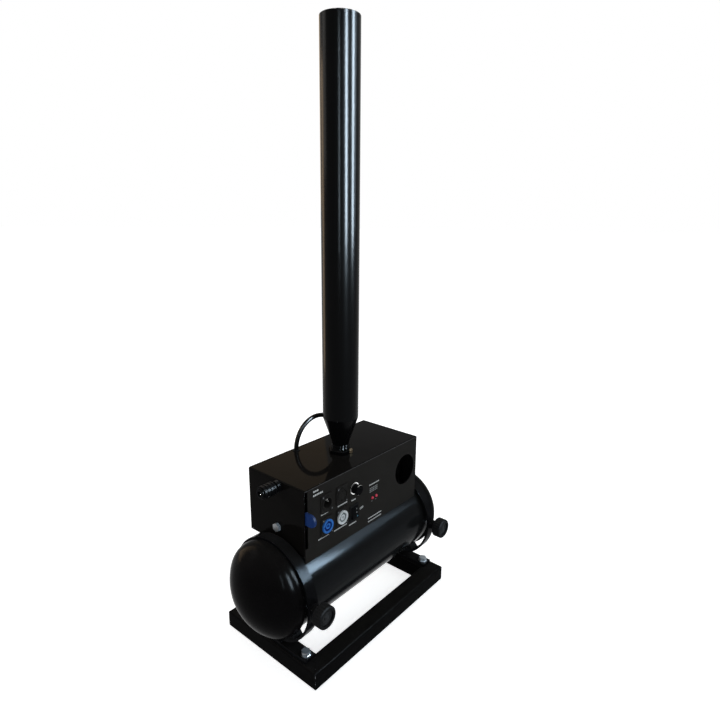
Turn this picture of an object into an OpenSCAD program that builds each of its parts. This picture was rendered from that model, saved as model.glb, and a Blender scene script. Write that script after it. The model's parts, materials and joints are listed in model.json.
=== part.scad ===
// Confetti blower: an air tank with a sheet-metal housing and a barrel, tilting in a floor cradle.
// Millimetres, +Z up. The origin is at the bottom centre; the control panel faces -Y.

/* [Base frame] */
// Side of the square steel tube
rail = 30; // [27:1:33]
// Depth of the frame from front to back
frame_d = 208.5; // [200:0.5:222]

/* [Air tank] */
// Outside radius of the tank shell
tank_r = 74; // [71:0.5:75.5]
// Thickness of the tank shell
tank_t = 3; // [2:0.5:4]

/* [Cradle] */
// Width of each strap ring
strap_w = 18; // [16:1:20]
// Diameter of each clamp knob
knob_d = 35; // [31:1:36]

/* [Housing] */
// Width of the sheet-metal housing
housing_w = 286; // [282:1:292]
// Depth of the housing
housing_d = 126; // [123:1:130]
// Height of the housing top above the axis of the tank
housing_rise = 171.5; // [170:0.5:176]
// Thickness of the sheet
sheet = 1.5; // [1:0.1:1.8]
// Diameter of the round port in the front panel
port_d = 56; // [48:1:58]

/* [Barrel] */
// Outside diameter of the barrel
barrel_d = 60; // [55:0.5:63]
// Length of the straight barrel tube
barrel_len = 598; // [480:1:620]

/* [Hose] */
// Outside diameter of the air hose
hose_d = 8; // [6:0.5:8.5]
// Height of the hose arch above the housing top
hose_rise = 55; // [48:1:60]

/* [Hidden] */
$fn = 64;
// Small step that carries a cut past the face it opens
cut = 1;
// Clearance between pieces that move past each other
clear = 0.3;
// Radial clearance of a running fit
run = 0.05;

// Cradle: strap rings on foot strips, on the side rails
tube_wall = 2;
tube_corner = 3;
foot_t = 5;
foot_w = 22;
foot_len = 156;
lip_h = 3;
lip_len = 44;
hoop_t = 4;
hoop_gap = 11;
hoop_r = tank_r + hoop_gap;
hoop_z = rail + foot_t + hoop_r;
hoop_top_gap = 2;
tank_z = hoop_z + hoop_r - hoop_t - hoop_top_gap - tank_r;
hoop_side_gap = 4;
hoop_x = housing_w / 2 + hoop_side_gap + strap_w / 2;
frame_margin = 2;
frame_x = hoop_x + rail / 2 + frame_margin;
bolt_x = frame_x - rail / 2;
foot_bolt_dy = foot_len / 2 - 10;
pad_half_angle = 38;

// Clamp screws through the ring fronts
boss_len = 8;
boss_flats = 16;
stud_r = 4;
stud_gap = 0.6;
stud_hole_r = stud_r + 0.5;
knob_gap = 1;
knob_t = 16.5;
neck_r = 7;
neck_len = 3;
knob_dish = 3.5;
knob_rim = 5.5;
knob_core = 6;
knob_chamfer = 1.6;
flutes = 24;
flute_r = 1.5;
flute_out = 0.9;
clamp_drop = 3;
clamp_z = tank_z - clamp_drop;
clamp_reach = hoop_r + boss_len + knob_gap + neck_len + knob_t;

// Places along the depth: the whole object is centred on the origin
tank_shift = 1.25;
frame_y = (tank_shift + clamp_reach) / 2 - frame_d / 4;
frame_front = frame_y - frame_d / 2;
frame_back = frame_y + frame_d / 2;
tank_y = frame_y - tank_shift;
knob_face = tank_y - clamp_reach;

// Bolts in the feet and in the housing sides, all of one size
bolt_r = 4;
bolt_flats = 13;
bolt_head_h = 5.3;
bolt_hole_r = 4.4;
washer_r = 8;
washer_t = 1.6;
insert_r = 5.5;
insert_len = 16;

// Tank heads
skirt_gap = 1;
skirt_x = hoop_x + strap_w / 2 + skirt_gap;
skirt_len = 4;
shell_x = skirt_x + skirt_len - 1;
head_t = 3.5;
head_r = tank_r + head_t;
knuckle_r = 30;
crown_r = 98;
tank_top = tank_z + tank_r;
drain_x = 100;
drain_r = 7;
drain_flats = 17;

// Housing box
hx = housing_w / 2;
panel_reach = 54;
housing_front = tank_y - panel_reach;
housing_back = housing_front + housing_d;
housing_top = tank_z + housing_rise;
side_bottom = tank_top - 11;
bend_r = 2.5;
inner_x = hx - sheet;
panel_in = housing_front + sheet;
back_in = housing_back - sheet;
roof_in = housing_top - sheet;
flange = 10;
return_w = 11;
slot_w = 6;
slot_bottom = tank_top + 1;
bracket_t = 3;
bracket_front = tank_y - 20;
bracket_back = tank_y + 30;
bracket_bottom = tank_top - 14;
bracket_top = tank_top + 33;
side_bolt_y = tank_y + 5;
side_bolt_z = tank_top + 18;
side_nut_h = 6.5;
side_bolt_len = 13;
rear_screw_r = 2;
rear_head_r = 3.8;
rear_head_h = 2.4;
rear_screw_len = 6;
rear_screw_in = 5.5;
rear_screw_end = 9;

// Barrel column above the tank
barrel_y = tank_y + 4.5;
nipple_r = 13.2;
riser_r = 13;
pipe_bore = 10;
lock_flats = 38;
lock_t = 6;
socket_r = 14.5;
socket_z = housing_top + 9;
nipple_top = housing_top + 17;
cone_z = housing_top + 18;
cone_h = 45;
barrel_r = barrel_d / 2;
barrel_t = 2;
barrel_z = cone_z + cone_h;

// Dump valve under the housing top, with its coil on the right
riser_z = tank_top - 10;
valve_z = tank_top + 13;
valve_h = 50;
valve_w = 60;
valve_d = 48;
socket_depth = 10;
valve_top = valve_z + valve_h;
coil_r = 18;
coil_len = 36;
coil_gap = 3;
coil_tube_r = 6;

// Panel positions, from the nearer side of the housing and from its top
column_a = 47 - hx;
column_b = 81 - hx;
row_top = housing_top - 36.5;
row_low = housing_top - 75.5;
port_x = hx - 35;
port_z = housing_top - 54.5;
switch_x = 110.5 - hx;
switch_z = housing_top - 80.5;
fuse_x = 111 - hx;
fuse_z = housing_top - 37.3;
lamp_xs = [hx - 127.5, hx - 117];
lamp_z = housing_top - 73.5;
lamp_r = 2.5;

// Round connectors, each on a plate with two screws
plate_w = 26;
plate_h = 31;
plate_t = 1.8;
plate_corner = 2.5;
plate_screw_x = 9.5;
plate_screw_z = 12;
screw_hole_r = 1.6;
screw_head_r = 2.5;
screw_head_h = 1.5;
shell_r = 12;
shell_len = 20;
dmx_r = 11;
dmx_lip = 1.4;
pin_circle = 5;
pin_r = 0.8;
power_r = 11.4;
power_lip = 2.6;
key_w = 3;

// Rocker switch, at rest with its lower half in
switch_tilt = 8;
rocker_back = 3;
rocker_w = 15;
switch_half_w = 9;
switch_half_h = 12.5;
bezel_half_w = 10.5;
bezel_half_h = 14;
bezel_t = 2;

// Fuse holder
fuse_r = 7.6;
fuse_core_r = 5;
fuse_cap_r = 8;
fuse_cap_t = 12;
fuse_ring_r = 10.2;
fuse_ring_t = 2;

// Quick coupling, ball valve and its lever on the left
coupling_y = tank_y + 2.5;
coupling_z = housing_top - 9.5;
coupling_r = 7;
sleeve_r = 10.6;
mouth_len = 35.5;
sleeve_end = 32;
sleeve_start = 11;
ball_place = 30.5;
ball_r = 1.4;
ball_ring = 5.4;
collar_r = 9.3;
collar_len = 6.5;
wall_hole_r = 6.5;
stub_len = 8;
lever_y = housing_front + 28;
lever_z = housing_top - 45.5;
ball_x = 25 - hx;
ball_body_r = 12;
ball_half = 19;
ball_hex = 22;
pipe_r = 6;
spindle_r = 3;
lever_x = sheet + 2.9 - hx;
lever_t = 2;
grip_t = 4.6;
grip_r = 10;
grip_reach = 37.5;

// Control board behind the panel, on four posts
board_y = panel_in + 28.5;
board_t = 1.6;
board_left = 53 - hx;
board_right = hx - 93;
board_low = tank_top + 5;
board_high = housing_top - 12.5;
relay_count = 4;
relay_pitch = (board_right - board_left - 36) / relay_count;
relay_d = 6;
relay_h = 14;
post_r = 3;
post_in = 6;

// Air hose: centres of its two ends in the housing top
hose_a = [-48, housing_back - 8.5];
hose_b = [36, barrel_y + 33.7];
hose_sink = 10;
hose_r = hose_d / 2;
fitting_r = hose_r + 1.5;
fitting_below = hose_sink + 4.5;
pilot_half = 18;
manifold_half = 12;
manifold_h = 20;
manifold_d = 18.5;

// Power supply at the back, and the pressure switch on the tank
supply_left = hose_b[0] + pilot_half + 12;
supply_right = hx - 17;
supply_d = 40;
supply_low = tank_top + 4;
vent_count = 6;
vent_pitch = (supply_right - supply_left - 9) / vent_count;
sensor_x = -50;
sensor_r = 5;
hose_sides = 12;
hose_steps = 44;

// Helpers
module x_rod(r, x0, x1) {
    translate([x0, 0, 0]) rotate([0, 90, 0]) cylinder(r = r, h = x1 - x0);
}

module y_rod(r, y0, y1) {
    translate([0, y0, 0]) rotate([-90, 0, 0]) cylinder(r = r, h = y1 - y0);
}

module box(low, high) {
    translate(low) cube(high - low);
}

module z_hex(flats, h) {
    cylinder(r = flats / sqrt(3), h = h, $fn = 6);
}

module both_sides() {
    children();
    mirror([1, 0, 0]) children();
}

module tank_cut(r = tank_r) {
    translate([0, tank_y, tank_z]) x_rod(r, -hoop_x - 60, hoop_x + 60);
}

module rounded_square(w, h, r) {
    translate([r, 0]) square([w - 2 * r, h]);
    translate([0, r]) square([w, h - 2 * r]);
    for (x = [r, w - r], y = [r, h - r]) {
        translate([x, y]) circle(r = r);
    }
}

// Base frame: four mitred tubes
module tube_profile() {
    difference() {
        rounded_square(rail, rail, tube_corner);
        translate([tube_wall, tube_wall]) square(rail - 2 * tube_wall);
    }
}

module cross_rail() {
    intersection() {
        translate([-frame_x, frame_front, 0]) rotate([90, 0, 90])
            linear_extrude(2 * frame_x) tube_profile();
        linear_extrude(rail) polygon([
            [-frame_x, frame_front],
            [frame_x, frame_front],
            [frame_x - rail, frame_front + rail],
            [rail - frame_x, frame_front + rail]]);
    }
}

module front_rail() {
    color("#26282b") cross_rail();
}

module rear_rail() {
    color("#26282b") translate([0, frame_front + frame_back, 0]) mirror([0, 1, 0]) cross_rail();
}

module side_rail() {
    difference() {
        intersection() {
            translate([-frame_x, frame_back, 0]) rotate([90, 0, 0])
                linear_extrude(frame_back - frame_front) tube_profile();
            linear_extrude(rail) polygon([
                [-frame_x, frame_front],
                [rail - frame_x, frame_front + rail],
                [rail - frame_x, frame_back - rail],
                [-frame_x, frame_back]]);
        }
        for (dy = [-foot_bolt_dy, foot_bolt_dy]) {
            translate([-bolt_x, tank_y + dy, rail / 2]) cylinder(r = insert_r, h = rail);
        }
    }
}

module left_rail() {
    color("#26282b") side_rail();
}

module right_rail() {
    color("#26282b") mirror([1, 0, 0]) side_rail();
}

// Cradle ring welded to its foot strip
module hoop() {
    difference() {
        translate([-hoop_x, tank_y, hoop_z]) x_rod(hoop_r, -strap_w / 2, strap_w / 2);
        translate([-hoop_x, tank_y, hoop_z])
            x_rod(hoop_r - hoop_t, -strap_w / 2 - cut, strap_w / 2 + cut);
        translate([-hoop_x, tank_y - hoop_r - cut, clamp_z]) y_rod(stud_hole_r, 0, 2 * hoop_t);
    }
    difference() {
        box([-bolt_x - foot_w / 2, tank_y - foot_len / 2, rail],
            [-bolt_x + foot_w / 2, tank_y + foot_len / 2, rail + foot_t + lip_h]);
        translate([-hoop_x, tank_y, hoop_z]) x_rod(hoop_r, -foot_w, foot_w);
        box([-frame_x, tank_y - foot_len, rail + foot_t], [-hx, tank_y - lip_len / 2, hoop_z]);
        box([-frame_x, tank_y + lip_len / 2, rail + foot_t], [-hx, tank_y + foot_len, hoop_z]);
        for (dy = [-foot_bolt_dy, foot_bolt_dy]) {
            translate([-bolt_x, tank_y + dy, rail - cut])
                cylinder(r = bolt_hole_r, h = foot_t + 2 * cut);
        }
    }
}

module left_hoop() {
    color("#1f2123") hoop();
}

module right_hoop() {
    color("#1f2123") mirror([1, 0, 0]) hoop();
}

// Rubber pads that carry the tank in the rings
module saddle_pads() {
    reach = hoop_r * tan(pad_half_angle);
    color("#17181a") both_sides() difference() {
        intersection() {
            translate([-hoop_x, tank_y, hoop_z])
                x_rod(hoop_r - hoop_t, -strap_w / 2, strap_w / 2);
            translate([-hoop_x + strap_w / 2, tank_y, hoop_z]) rotate([90, 0, -90])
                linear_extrude(strap_w) polygon([[0, 0], [-reach, -hoop_r], [reach, -hoop_r]]);
        }
        tank_cut(tank_r + clear);
    }
}

// Hex bolts in the feet, with washers and threaded inserts in the rails
module foot_bolt() {
    shank = foot_t + insert_len - 2;
    cylinder(r = washer_r, h = washer_t);
    translate([0, 0, washer_t]) z_hex(bolt_flats, bolt_head_h);
    translate([0, 0, -shank]) cylinder(r = bolt_r, h = shank);
}

module foot_insert() {
    difference() {
        cylinder(r = insert_r, h = insert_len);
        translate([0, 0, -cut]) cylinder(r = bolt_r + run, h = insert_len + 2 * cut);
    }
}

module foot_bolts() {
    color("#b9bcc0") for (x = [-bolt_x, bolt_x], dy = [-foot_bolt_dy, foot_bolt_dy]) {
        translate([x, tank_y + dy, rail + foot_t]) foot_bolt();
        translate([x, tank_y + dy, rail - insert_len]) foot_insert();
    }
}

// Threaded bosses welded to the ring fronts
module clamp_bosses() {
    color("#1f2123") both_sides() difference() {
        translate([-hoop_x, tank_y - hoop_r - boss_len, clamp_z])
            rotate([-90, 30, 0]) z_hex(boss_flats, boss_len + hoop_t - cut);
        translate([0, tank_y, hoop_z]) x_rod(hoop_r, -hoop_x - strap_w, hoop_x + strap_w);
        translate([-hoop_x, tank_y - hoop_r - boss_len - cut, clamp_z])
            y_rod(stud_r + run, 0, boss_len + 2 * hoop_t);
    }
}

// Clamp screws: a fluted knob with a dished face on a threaded stud
stud_tip = tank_y - sqrt(pow(tank_r, 2) - pow(tank_z - clamp_z, 2)) - stud_gap;

module clamp_stud() {
    translate([-hoop_x, 0, clamp_z]) y_rod(stud_r, knob_face + knob_core, stud_tip);
}

module clamp_knob() {
    knob_r = knob_d / 2;
    length = neck_len + knob_t;
    translate([-hoop_x, knob_face + length, clamp_z]) rotate([90, 0, 0]) difference() {
        rotate_extrude() difference() {
            polygon([[0, 0], [neck_r, 0], [neck_r, neck_len], [knob_r - knob_chamfer, neck_len],
                [knob_r, neck_len + knob_chamfer], [knob_r, length - knob_chamfer],
                [knob_r - knob_chamfer, length], [0, length]]);
            translate([0, length - knob_dish]) square([knob_r - knob_rim, knob_dish + cut]);
        }
        translate([0, 0, -cut]) cylinder(r = stud_r, h = length - knob_core + cut);
        for (k = [1:flutes]) {
            rotate(k * 360 / flutes) translate([knob_r + flute_out, 0, neck_len - cut])
                cylinder(r = flute_r, h = knob_t + 2 * cut);
        }
    }
}

module left_stud() {
    color("#8d9094") clamp_stud();
}

module left_knob() {
    color("#1a1b1c") clamp_knob();
}

module right_stud() {
    color("#8d9094") mirror([1, 0, 0]) clamp_stud();
}

module right_knob() {
    color("#1a1b1c") mirror([1, 0, 0]) clamp_knob();
}

// Tank: a shell, two dished heads, the riser and a drain plug
module tank_shell() {
    color("#202225") difference() {
        translate([0, tank_y, tank_z]) x_rod(tank_r, -shell_x, shell_x);
        translate([0, tank_y, tank_z]) x_rod(tank_r - tank_t, -shell_x - cut, shell_x + cut);
        translate([0, barrel_y, tank_z]) cylinder(r = riser_r, h = 2 * tank_r);
        translate([ball_x, lever_y, tank_z]) cylinder(r = pipe_r, h = 2 * tank_r);
        translate([sensor_x, barrel_y, tank_z]) cylinder(r = sensor_r, h = 2 * tank_r);
        translate([drain_x, tank_y, 0]) cylinder(r = drain_r, h = tank_z);
    }
}

// Half profile of a dished head: a crown arc running into a knuckle arc
module head_profile(a, knuckle, crown) {
    centre_h = sqrt(pow(crown - knuckle, 2) - pow(a - knuckle, 2));
    intersection() {
        union() {
            intersection() {
                translate([0, -centre_h]) circle(r = crown);
                polygon([[0, -centre_h], [3 * (a - knuckle), 2 * centre_h], [0, 3 * crown]]);
            }
            translate([a - knuckle, 0]) circle(r = knuckle);
            square([a - knuckle, knuckle / 2]);
        }
        square([a, 2 * crown]);
    }
}

module tank_head() {
    rotate([0, -90, 0]) {
        translate([0, 0, skirt_len]) rotate_extrude() difference() {
            head_profile(head_r, knuckle_r, crown_r);
            head_profile(head_r - head_t, knuckle_r - head_t, crown_r - head_t);
        }
        difference() {
            cylinder(r = head_r, h = skirt_len);
            translate([0, 0, -cut]) cylinder(r = tank_r, h = skirt_len + 2 * cut);
        }
    }
}

module left_head() {
    color("#1c1d20") translate([-skirt_x, tank_y, tank_z]) tank_head();
}

module right_head() {
    color("#1c1d20") mirror([1, 0, 0]) translate([-skirt_x, tank_y, tank_z]) tank_head();
}

module drain_plug() {
    head_h = 6;
    neck = 3;
    color("#b8923f") translate([drain_x, tank_y, tank_z - tank_r - neck]) {
        cylinder(r = drain_r, h = 4 * neck);
        translate([0, 0, -head_h]) z_hex(drain_flats, head_h);
    }
}

module pipe(r, bore, h) {
    difference() {
        cylinder(r = r, h = h);
        translate([0, 0, -cut]) cylinder(r = bore, h = h + 2 * cut);
    }
}

module riser_nipple() {
    color("#b8923f") translate([0, barrel_y, riser_z])
        pipe(riser_r, pipe_bore, valve_z + socket_depth - riser_z);
}

// Dump valve: a block between the riser and the barrel, with its coil and pilot block
module valve_body() {
    color("#a6803a") difference() {
        box([-valve_w / 2, barrel_y - valve_d / 2, valve_z],
            [valve_w / 2, barrel_y + valve_d / 2, valve_top]);
        translate([0, barrel_y, valve_z - cut]) cylinder(r = riser_r, h = socket_depth + cut);
        translate([0, barrel_y, valve_z]) cylinder(r = pipe_bore, h = valve_h);
        translate([0, barrel_y, valve_top - socket_depth])
            cylinder(r = nipple_r, h = socket_depth + cut);
    }
}

module valve_coil() {
    coil_end = coil_gap + coil_len;
    color("#16181b") translate([valve_w / 2, barrel_y, valve_z + valve_h / 2 + 1]) {
        x_rod(coil_r, coil_gap, coil_end);
        x_rod(coil_tube_r, 0, coil_end + coil_gap + 1);
    }
}

module pilot_block() {
    color("#a6803a") box([hose_b[0] - pilot_half, barrel_y + 20, valve_top],
        [hose_b[0] + pilot_half, barrel_y + 45.5, housing_top - fitting_below]);
}

module stem_nipple() {
    foot = valve_top - socket_depth;
    color("#2a2c2f") translate([0, barrel_y, foot]) pipe(nipple_r, pipe_bore, nipple_top - foot);
}

module lock_nuts() {
    color("#b8923f") for (z = [housing_top, roof_in - lock_t]) {
        translate([0, barrel_y, z]) difference() {
            rotate(-10) z_hex(lock_flats, lock_t);
            translate([0, 0, -cut]) cylinder(r = nipple_r, h = lock_t + 2 * cut);
        }
    }
}

// Barrel: a threaded socket and cone under a straight tube
module barrel_cone() {
    color("#1d1e20") translate([0, barrel_y, 0]) difference() {
        union() {
            translate([0, 0, socket_z]) cylinder(r = socket_r, h = cone_z - socket_z);
            translate([0, 0, cone_z]) cylinder(r1 = socket_r, r2 = barrel_r, h = cone_h);
        }
        translate([0, 0, socket_z - cut]) cylinder(r = nipple_r, h = nipple_top - socket_z + cut);
        translate([0, 0, nipple_top - cut])
            cylinder(r = socket_r - barrel_t, h = cone_z - nipple_top + 2 * cut);
        translate([0, 0, cone_z])
            cylinder(r1 = socket_r - barrel_t, r2 = barrel_r - barrel_t, h = cone_h);
    }
}

module barrel_tube() {
    color("#1d1e20") translate([0, barrel_y, barrel_z])
        pipe(barrel_r, barrel_r - barrel_t, barrel_len);
}

// Housing cover: one sheet folded over the sides, with inner return flanges at the back
module cover_profile() {
    difference() {
        intersection() {
            translate([-hx, 0]) rounded_square(housing_w, housing_top, bend_r);
            translate([-hx, side_bottom]) square([housing_w, housing_top]);
        }
        difference() {
            translate([-inner_x, 0]) square([2 * inner_x, roof_in]);
            for (side = [-1, 1]) {
                translate([side * (inner_x - 0.5), roof_in - 0.5]) square(1, center = true);
            }
        }
        for (side = [-1, 1]) {
            translate([side * (inner_x - 1), roof_in - 1]) circle(r = 1);
        }
    }
}

module cover() {
    color("#222427") difference() {
        union() {
            translate([0, housing_back, 0]) rotate([90, 0, 0])
                linear_extrude(housing_d) cover_profile();
            both_sides() box([inner_x - return_w, back_in - sheet, side_bottom + sheet + cut],
                [hx - sheet / 2, back_in, roof_in - 2 * cut]);
        }
        tank_cut();
        translate([0, barrel_y, roof_in - cut]) cylinder(r = nipple_r, h = sheet + 2 * cut);
        for (p = [hose_a, hose_b]) {
            translate([p[0], p[1], roof_in - cut]) cylinder(r = fitting_r, h = sheet + 2 * cut);
        }
        translate([0, coupling_y, coupling_z]) x_rod(wall_hole_r, -hx - cut, -inner_x + cut);
        for (side = [-1, 1]) {
            translate([side * hx, side_bolt_y, side_bolt_z]) x_rod(bolt_r, -2 * sheet, 2 * sheet);
        }
        rear_screw_places() y_rod(rear_screw_r, -2 * sheet - cut, cut);
    }
}

module front_panel() {
    color("#222427") difference() {
        union() {
            box([-inner_x, housing_front, tank_z], [inner_x, panel_in, roof_in]);
            box([2 * flange - hx, housing_front, roof_in - sheet],
                [inner_x - flange, panel_in + flange, roof_in]);
        }
        tank_cut();
        box([-inner_x - cut, housing_front - cut, slot_bottom],
            [slot_w - inner_x, panel_in + cut, roof_in + cut]);
        panel_hole(port_x, port_z, port_d / 2);
        for (x = [column_a, column_b], z = [row_top, row_low]) {
            panel_hole(x, z, shell_r);
            panel_hole(x - plate_screw_x, z + plate_screw_z, screw_hole_r);
            panel_hole(x + plate_screw_x, z - plate_screw_z, screw_hole_r);
        }
        panel_hole(fuse_x, fuse_z, fuse_r);
        for (x = lamp_xs) {
            panel_hole(x, lamp_z, lamp_r);
        }
        box([switch_x - switch_half_w, housing_front - cut, switch_z - switch_half_h],
            [switch_x + switch_half_w, panel_in + cut, switch_z + switch_half_h]);
    }
}

module panel_hole(x, z, r) {
    translate([x, 0, z]) y_rod(r, housing_front - cut, panel_in + cut);
}

module rear_screw_places() {
    low = side_bottom + rear_screw_end;
    high = roof_in - rear_screw_end;
    for (side = [-1, 1], z = [low, (low + high) / 2, high]) {
        translate([side * (inner_x - rear_screw_in), housing_back, z]) children();
    }
}

module rear_panel() {
    color("#222427") difference() {
        union() {
            box([-inner_x, back_in, side_bottom], [inner_x, housing_back, roof_in]);
            box([-inner_x, bracket_back, side_bottom],
                [inner_x, housing_back, side_bottom + sheet]);
        }
        tank_cut();
        rear_screw_places() y_rod(rear_screw_r, -sheet - cut, cut);
    }
}

module rear_screws() {
    color("#151617") rear_screw_places() {
        y_rod(rear_screw_r, -rear_screw_len, 0);
        difference() {
            y_rod(rear_head_r, 0, rear_head_h);
            translate([0, rear_head_h / 2, 0]) rotate([-90, 0, 0]) z_hex(2.5, rear_head_h);
        }
    }
}

module saddle_brackets() {
    color("#2c2e31") both_sides() difference() {
        box([inner_x - bracket_t, bracket_front, bracket_bottom],
            [inner_x, bracket_back, bracket_top]);
        tank_cut();
        translate([inner_x, side_bolt_y, side_bolt_z]) x_rod(bolt_r, -2 * bracket_t, cut);
    }
}

module side_bolts() {
    color("#b9bcc0") both_sides() translate([hx, side_bolt_y, side_bolt_z]) {
        x_rod(bolt_r, -side_bolt_len, 0);
        rotate([0, 90, 0]) z_hex(bolt_flats, bolt_head_h);
        translate([-sheet - bracket_t - side_nut_h, 0, 0]) rotate([0, 90, 0]) difference() {
            z_hex(bolt_flats, side_nut_h);
            translate([0, 0, -cut]) cylinder(r = bolt_r + run, h = side_nut_h + 2 * cut);
        }
    }
}

// Panel connectors
module connector_plate(x, z, hole_r) {
    translate([x, housing_front, z]) difference() {
        rotate([90, 0, 0]) linear_extrude(plate_t) translate([-plate_w / 2, -plate_h / 2])
            rounded_square(plate_w, plate_h, plate_corner);
        y_rod(hole_r, -plate_t - cut, cut);
        for (s = [-1, 1]) {
            translate([s * plate_screw_x, 0, -s * plate_screw_z])
                y_rod(screw_hole_r, -plate_t - cut, cut);
        }
    }
}

module pin_places() {
    for (k = [0:4]) {
        rotate([0, 180 + 45 * k, 0]) translate([pin_circle, 0, 0]) children();
    }
}

module dmx_inlet() {
    color("#17181a") {
        connector_plate(column_a, row_top, dmx_r);
        translate([column_a, housing_front, row_top]) difference() {
            union() {
                y_rod(dmx_r, -plate_t - dmx_lip, 0);
                y_rod(shell_r, 0, shell_len);
            }
            y_rod(dmx_r - 2.4, -plate_t - dmx_lip - cut, 13);
            pin_places() y_rod(pin_r, 0, shell_len + cut);
        }
    }
}

module dmx_pins() {
    color("#cfd2d5") translate([column_a, housing_front, row_top])
        pin_places() y_rod(pin_r, 1, shell_len + 4);
}

module dmx_outlet() {
    color("#17181a") {
        connector_plate(column_b, row_top, dmx_r);
        translate([column_b, housing_front, row_top]) difference() {
            union() {
                y_rod(dmx_r, -plate_t - dmx_lip, 0);
                y_rod(shell_r, 0, shell_len);
            }
            difference() {
                y_rod(dmx_r - 1.6, -plate_t - dmx_lip - cut, 2);
                y_rod(dmx_r - 2.8, -plate_t - dmx_lip / 2, 3);
            }
            pin_places() y_rod(pin_r + 0.2, -plate_t - dmx_lip, shell_len / 2);
        }
    }
}

module power_socket(x) {
    face = -plate_t - power_lip;
    groove_r = power_r - 3.6;
    core_r = power_r - 6.6;
    core_bore = 2.6;
    groove_end = 9;
    translate([x, housing_front, row_low]) difference() {
        union() {
            y_rod(power_r, face, 0);
            y_rod(shell_r, 0, shell_len - 1);
        }
        difference() {
            y_rod(groove_r, face - cut, groove_end);
            y_rod(core_r, face + 0.8, groove_end + cut);
        }
        y_rod(core_bore, face - cut, groove_end - 2);
        box([-key_w / 2, face - cut, groove_r - 0.8], [key_w / 2, 5, groove_r + 1.5]);
        box([-groove_r - 1.5, face - cut, -key_w * 0.4], [0.8 - groove_r, 5, key_w * 0.4]);
    }
}

module power_inlet() {
    color("#2f7fd6") power_socket(column_a);
}

module power_outlet() {
    color("#d9dbdc") power_socket(column_b);
}

module power_plates() {
    color("#17181a") for (x = [column_a, column_b]) {
        connector_plate(x, row_low, power_r);
    }
}

module connector_screws() {
    color("#b9bcc0") for (x = [column_a, column_b], z = [row_top, row_low], s = [-1, 1]) {
        translate([x + plate_screw_x * s, housing_front - plate_t, z - plate_screw_z * s]) {
            y_rod(screw_hole_r - 0.15, 0, 8);
            difference() {
                y_rod(screw_head_r, -screw_head_h, 0);
                translate([0, -screw_head_h / 2, 0]) rotate([90, 0, 0]) z_hex(1.8, screw_head_h);
            }
        }
    }
}

// Rocker switch and its rocker on a cross pin
module switch_body() {
    well_w = rocker_w / 2 + clear;
    well_h = switch_half_h - 1.3;
    color("#141516") translate([switch_x, housing_front, switch_z]) {
        difference() {
            union() {
                rotate([90, 0, 0]) linear_extrude(bezel_t) translate([-bezel_half_w, -bezel_half_h])
                    rounded_square(2 * bezel_half_w, 2 * bezel_half_h, 1.5);
                box([-switch_half_w, -cut, -switch_half_h], [switch_half_w, 20, switch_half_h]);
            }
            box([-well_w, -bezel_t - cut, -well_h], [well_w, 10, well_h]);
        }
        translate([0, rocker_back, 0]) x_rod(1, -well_w - cut / 2, well_w + cut / 2);
    }
}

module rocker() {
    color("#1b1c1d") translate([switch_x - rocker_w / 2, housing_front + rocker_back, switch_z])
        rotate([-switch_tilt, 0, 0]) rotate([90, 0, 90]) linear_extrude(rocker_w) difference() {
            polygon([[-1, -9.8], [-7.4, -9.8], [-5.6, 0], [-7.4, 9.8], [-1, 9.8], [3, 3], [3, -3]]);
            circle(r = 1 + run);
        }
}

// Fuse holder: a bright ring round a twist-off cap
module fuse_body() {
    color("#151617") translate([fuse_x, housing_front, fuse_z]) difference() {
        y_rod(fuse_r, 0, 25);
        y_rod(fuse_core_r + run, -cut, 20);
    }
}

module fuse_ring() {
    color("#c9cbcd") translate([fuse_x, housing_front, fuse_z]) difference() {
        y_rod(fuse_ring_r, -fuse_ring_t, 0);
        y_rod(fuse_cap_r + clear, -fuse_ring_t - cut, cut);
    }
}

module fuse_cap() {
    slot = [0.65 * fuse_cap_r, 1.6];
    color("#151617") translate([fuse_x, housing_front - clear, fuse_z]) difference() {
        union() {
            y_rod(fuse_cap_r, -fuse_cap_t, 0);
            y_rod(fuse_core_r, -cut, 14);
        }
        box([-slot[0], -fuse_cap_t - cut, -slot[1] / 2],
            [slot[0], slot[1] - fuse_cap_t, slot[1] / 2]);
    }
}

module indicator_lamps() {
    color("#d0303a") for (x = lamp_xs) {
        translate([x, housing_front, lamp_z]) {
            y_rod(lamp_r, 0, 6);
            difference() {
                sphere(r = lamp_r);
                box([-3, 0, -3], [3, 4, 3]);
            }
        }
    }
}

// Quick coupling through the left side: body, and a ribbed sleeve that pulls back
mouth_x = hx + mouth_len;
sleeve_out = hx + sleeve_end;
sleeve_in = hx + sleeve_start;

module locking_balls() {
    color("#cfd2d5") for (k = [0:3]) {
        translate([-hx - ball_place, coupling_y, coupling_z]) rotate([45 + 90 * k, 0, 0])
            translate([0, 0, ball_ring]) sphere(r = ball_r);
    }
}

module coupling_body() {
    color("#1b1c1e") difference() {
        translate([0, coupling_y, coupling_z]) {
            x_rod(coupling_r, -mouth_x, -hx);
            x_rod(collar_r, -hx - collar_len, -hx);
            x_rod(coupling_r + 1.4, -mouth_x + 1, -sleeve_out - clear);
            x_rod(wall_hole_r, -hx - cut, stub_len - hx);
            x_rod(wall_hole_r + 1.3, -inner_x, 4 - inner_x);
        }
        translate([0, coupling_y, coupling_z]) x_rod(4.6, -mouth_x - cut, -hx - stub_len);
        locking_balls();
    }
}

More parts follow.
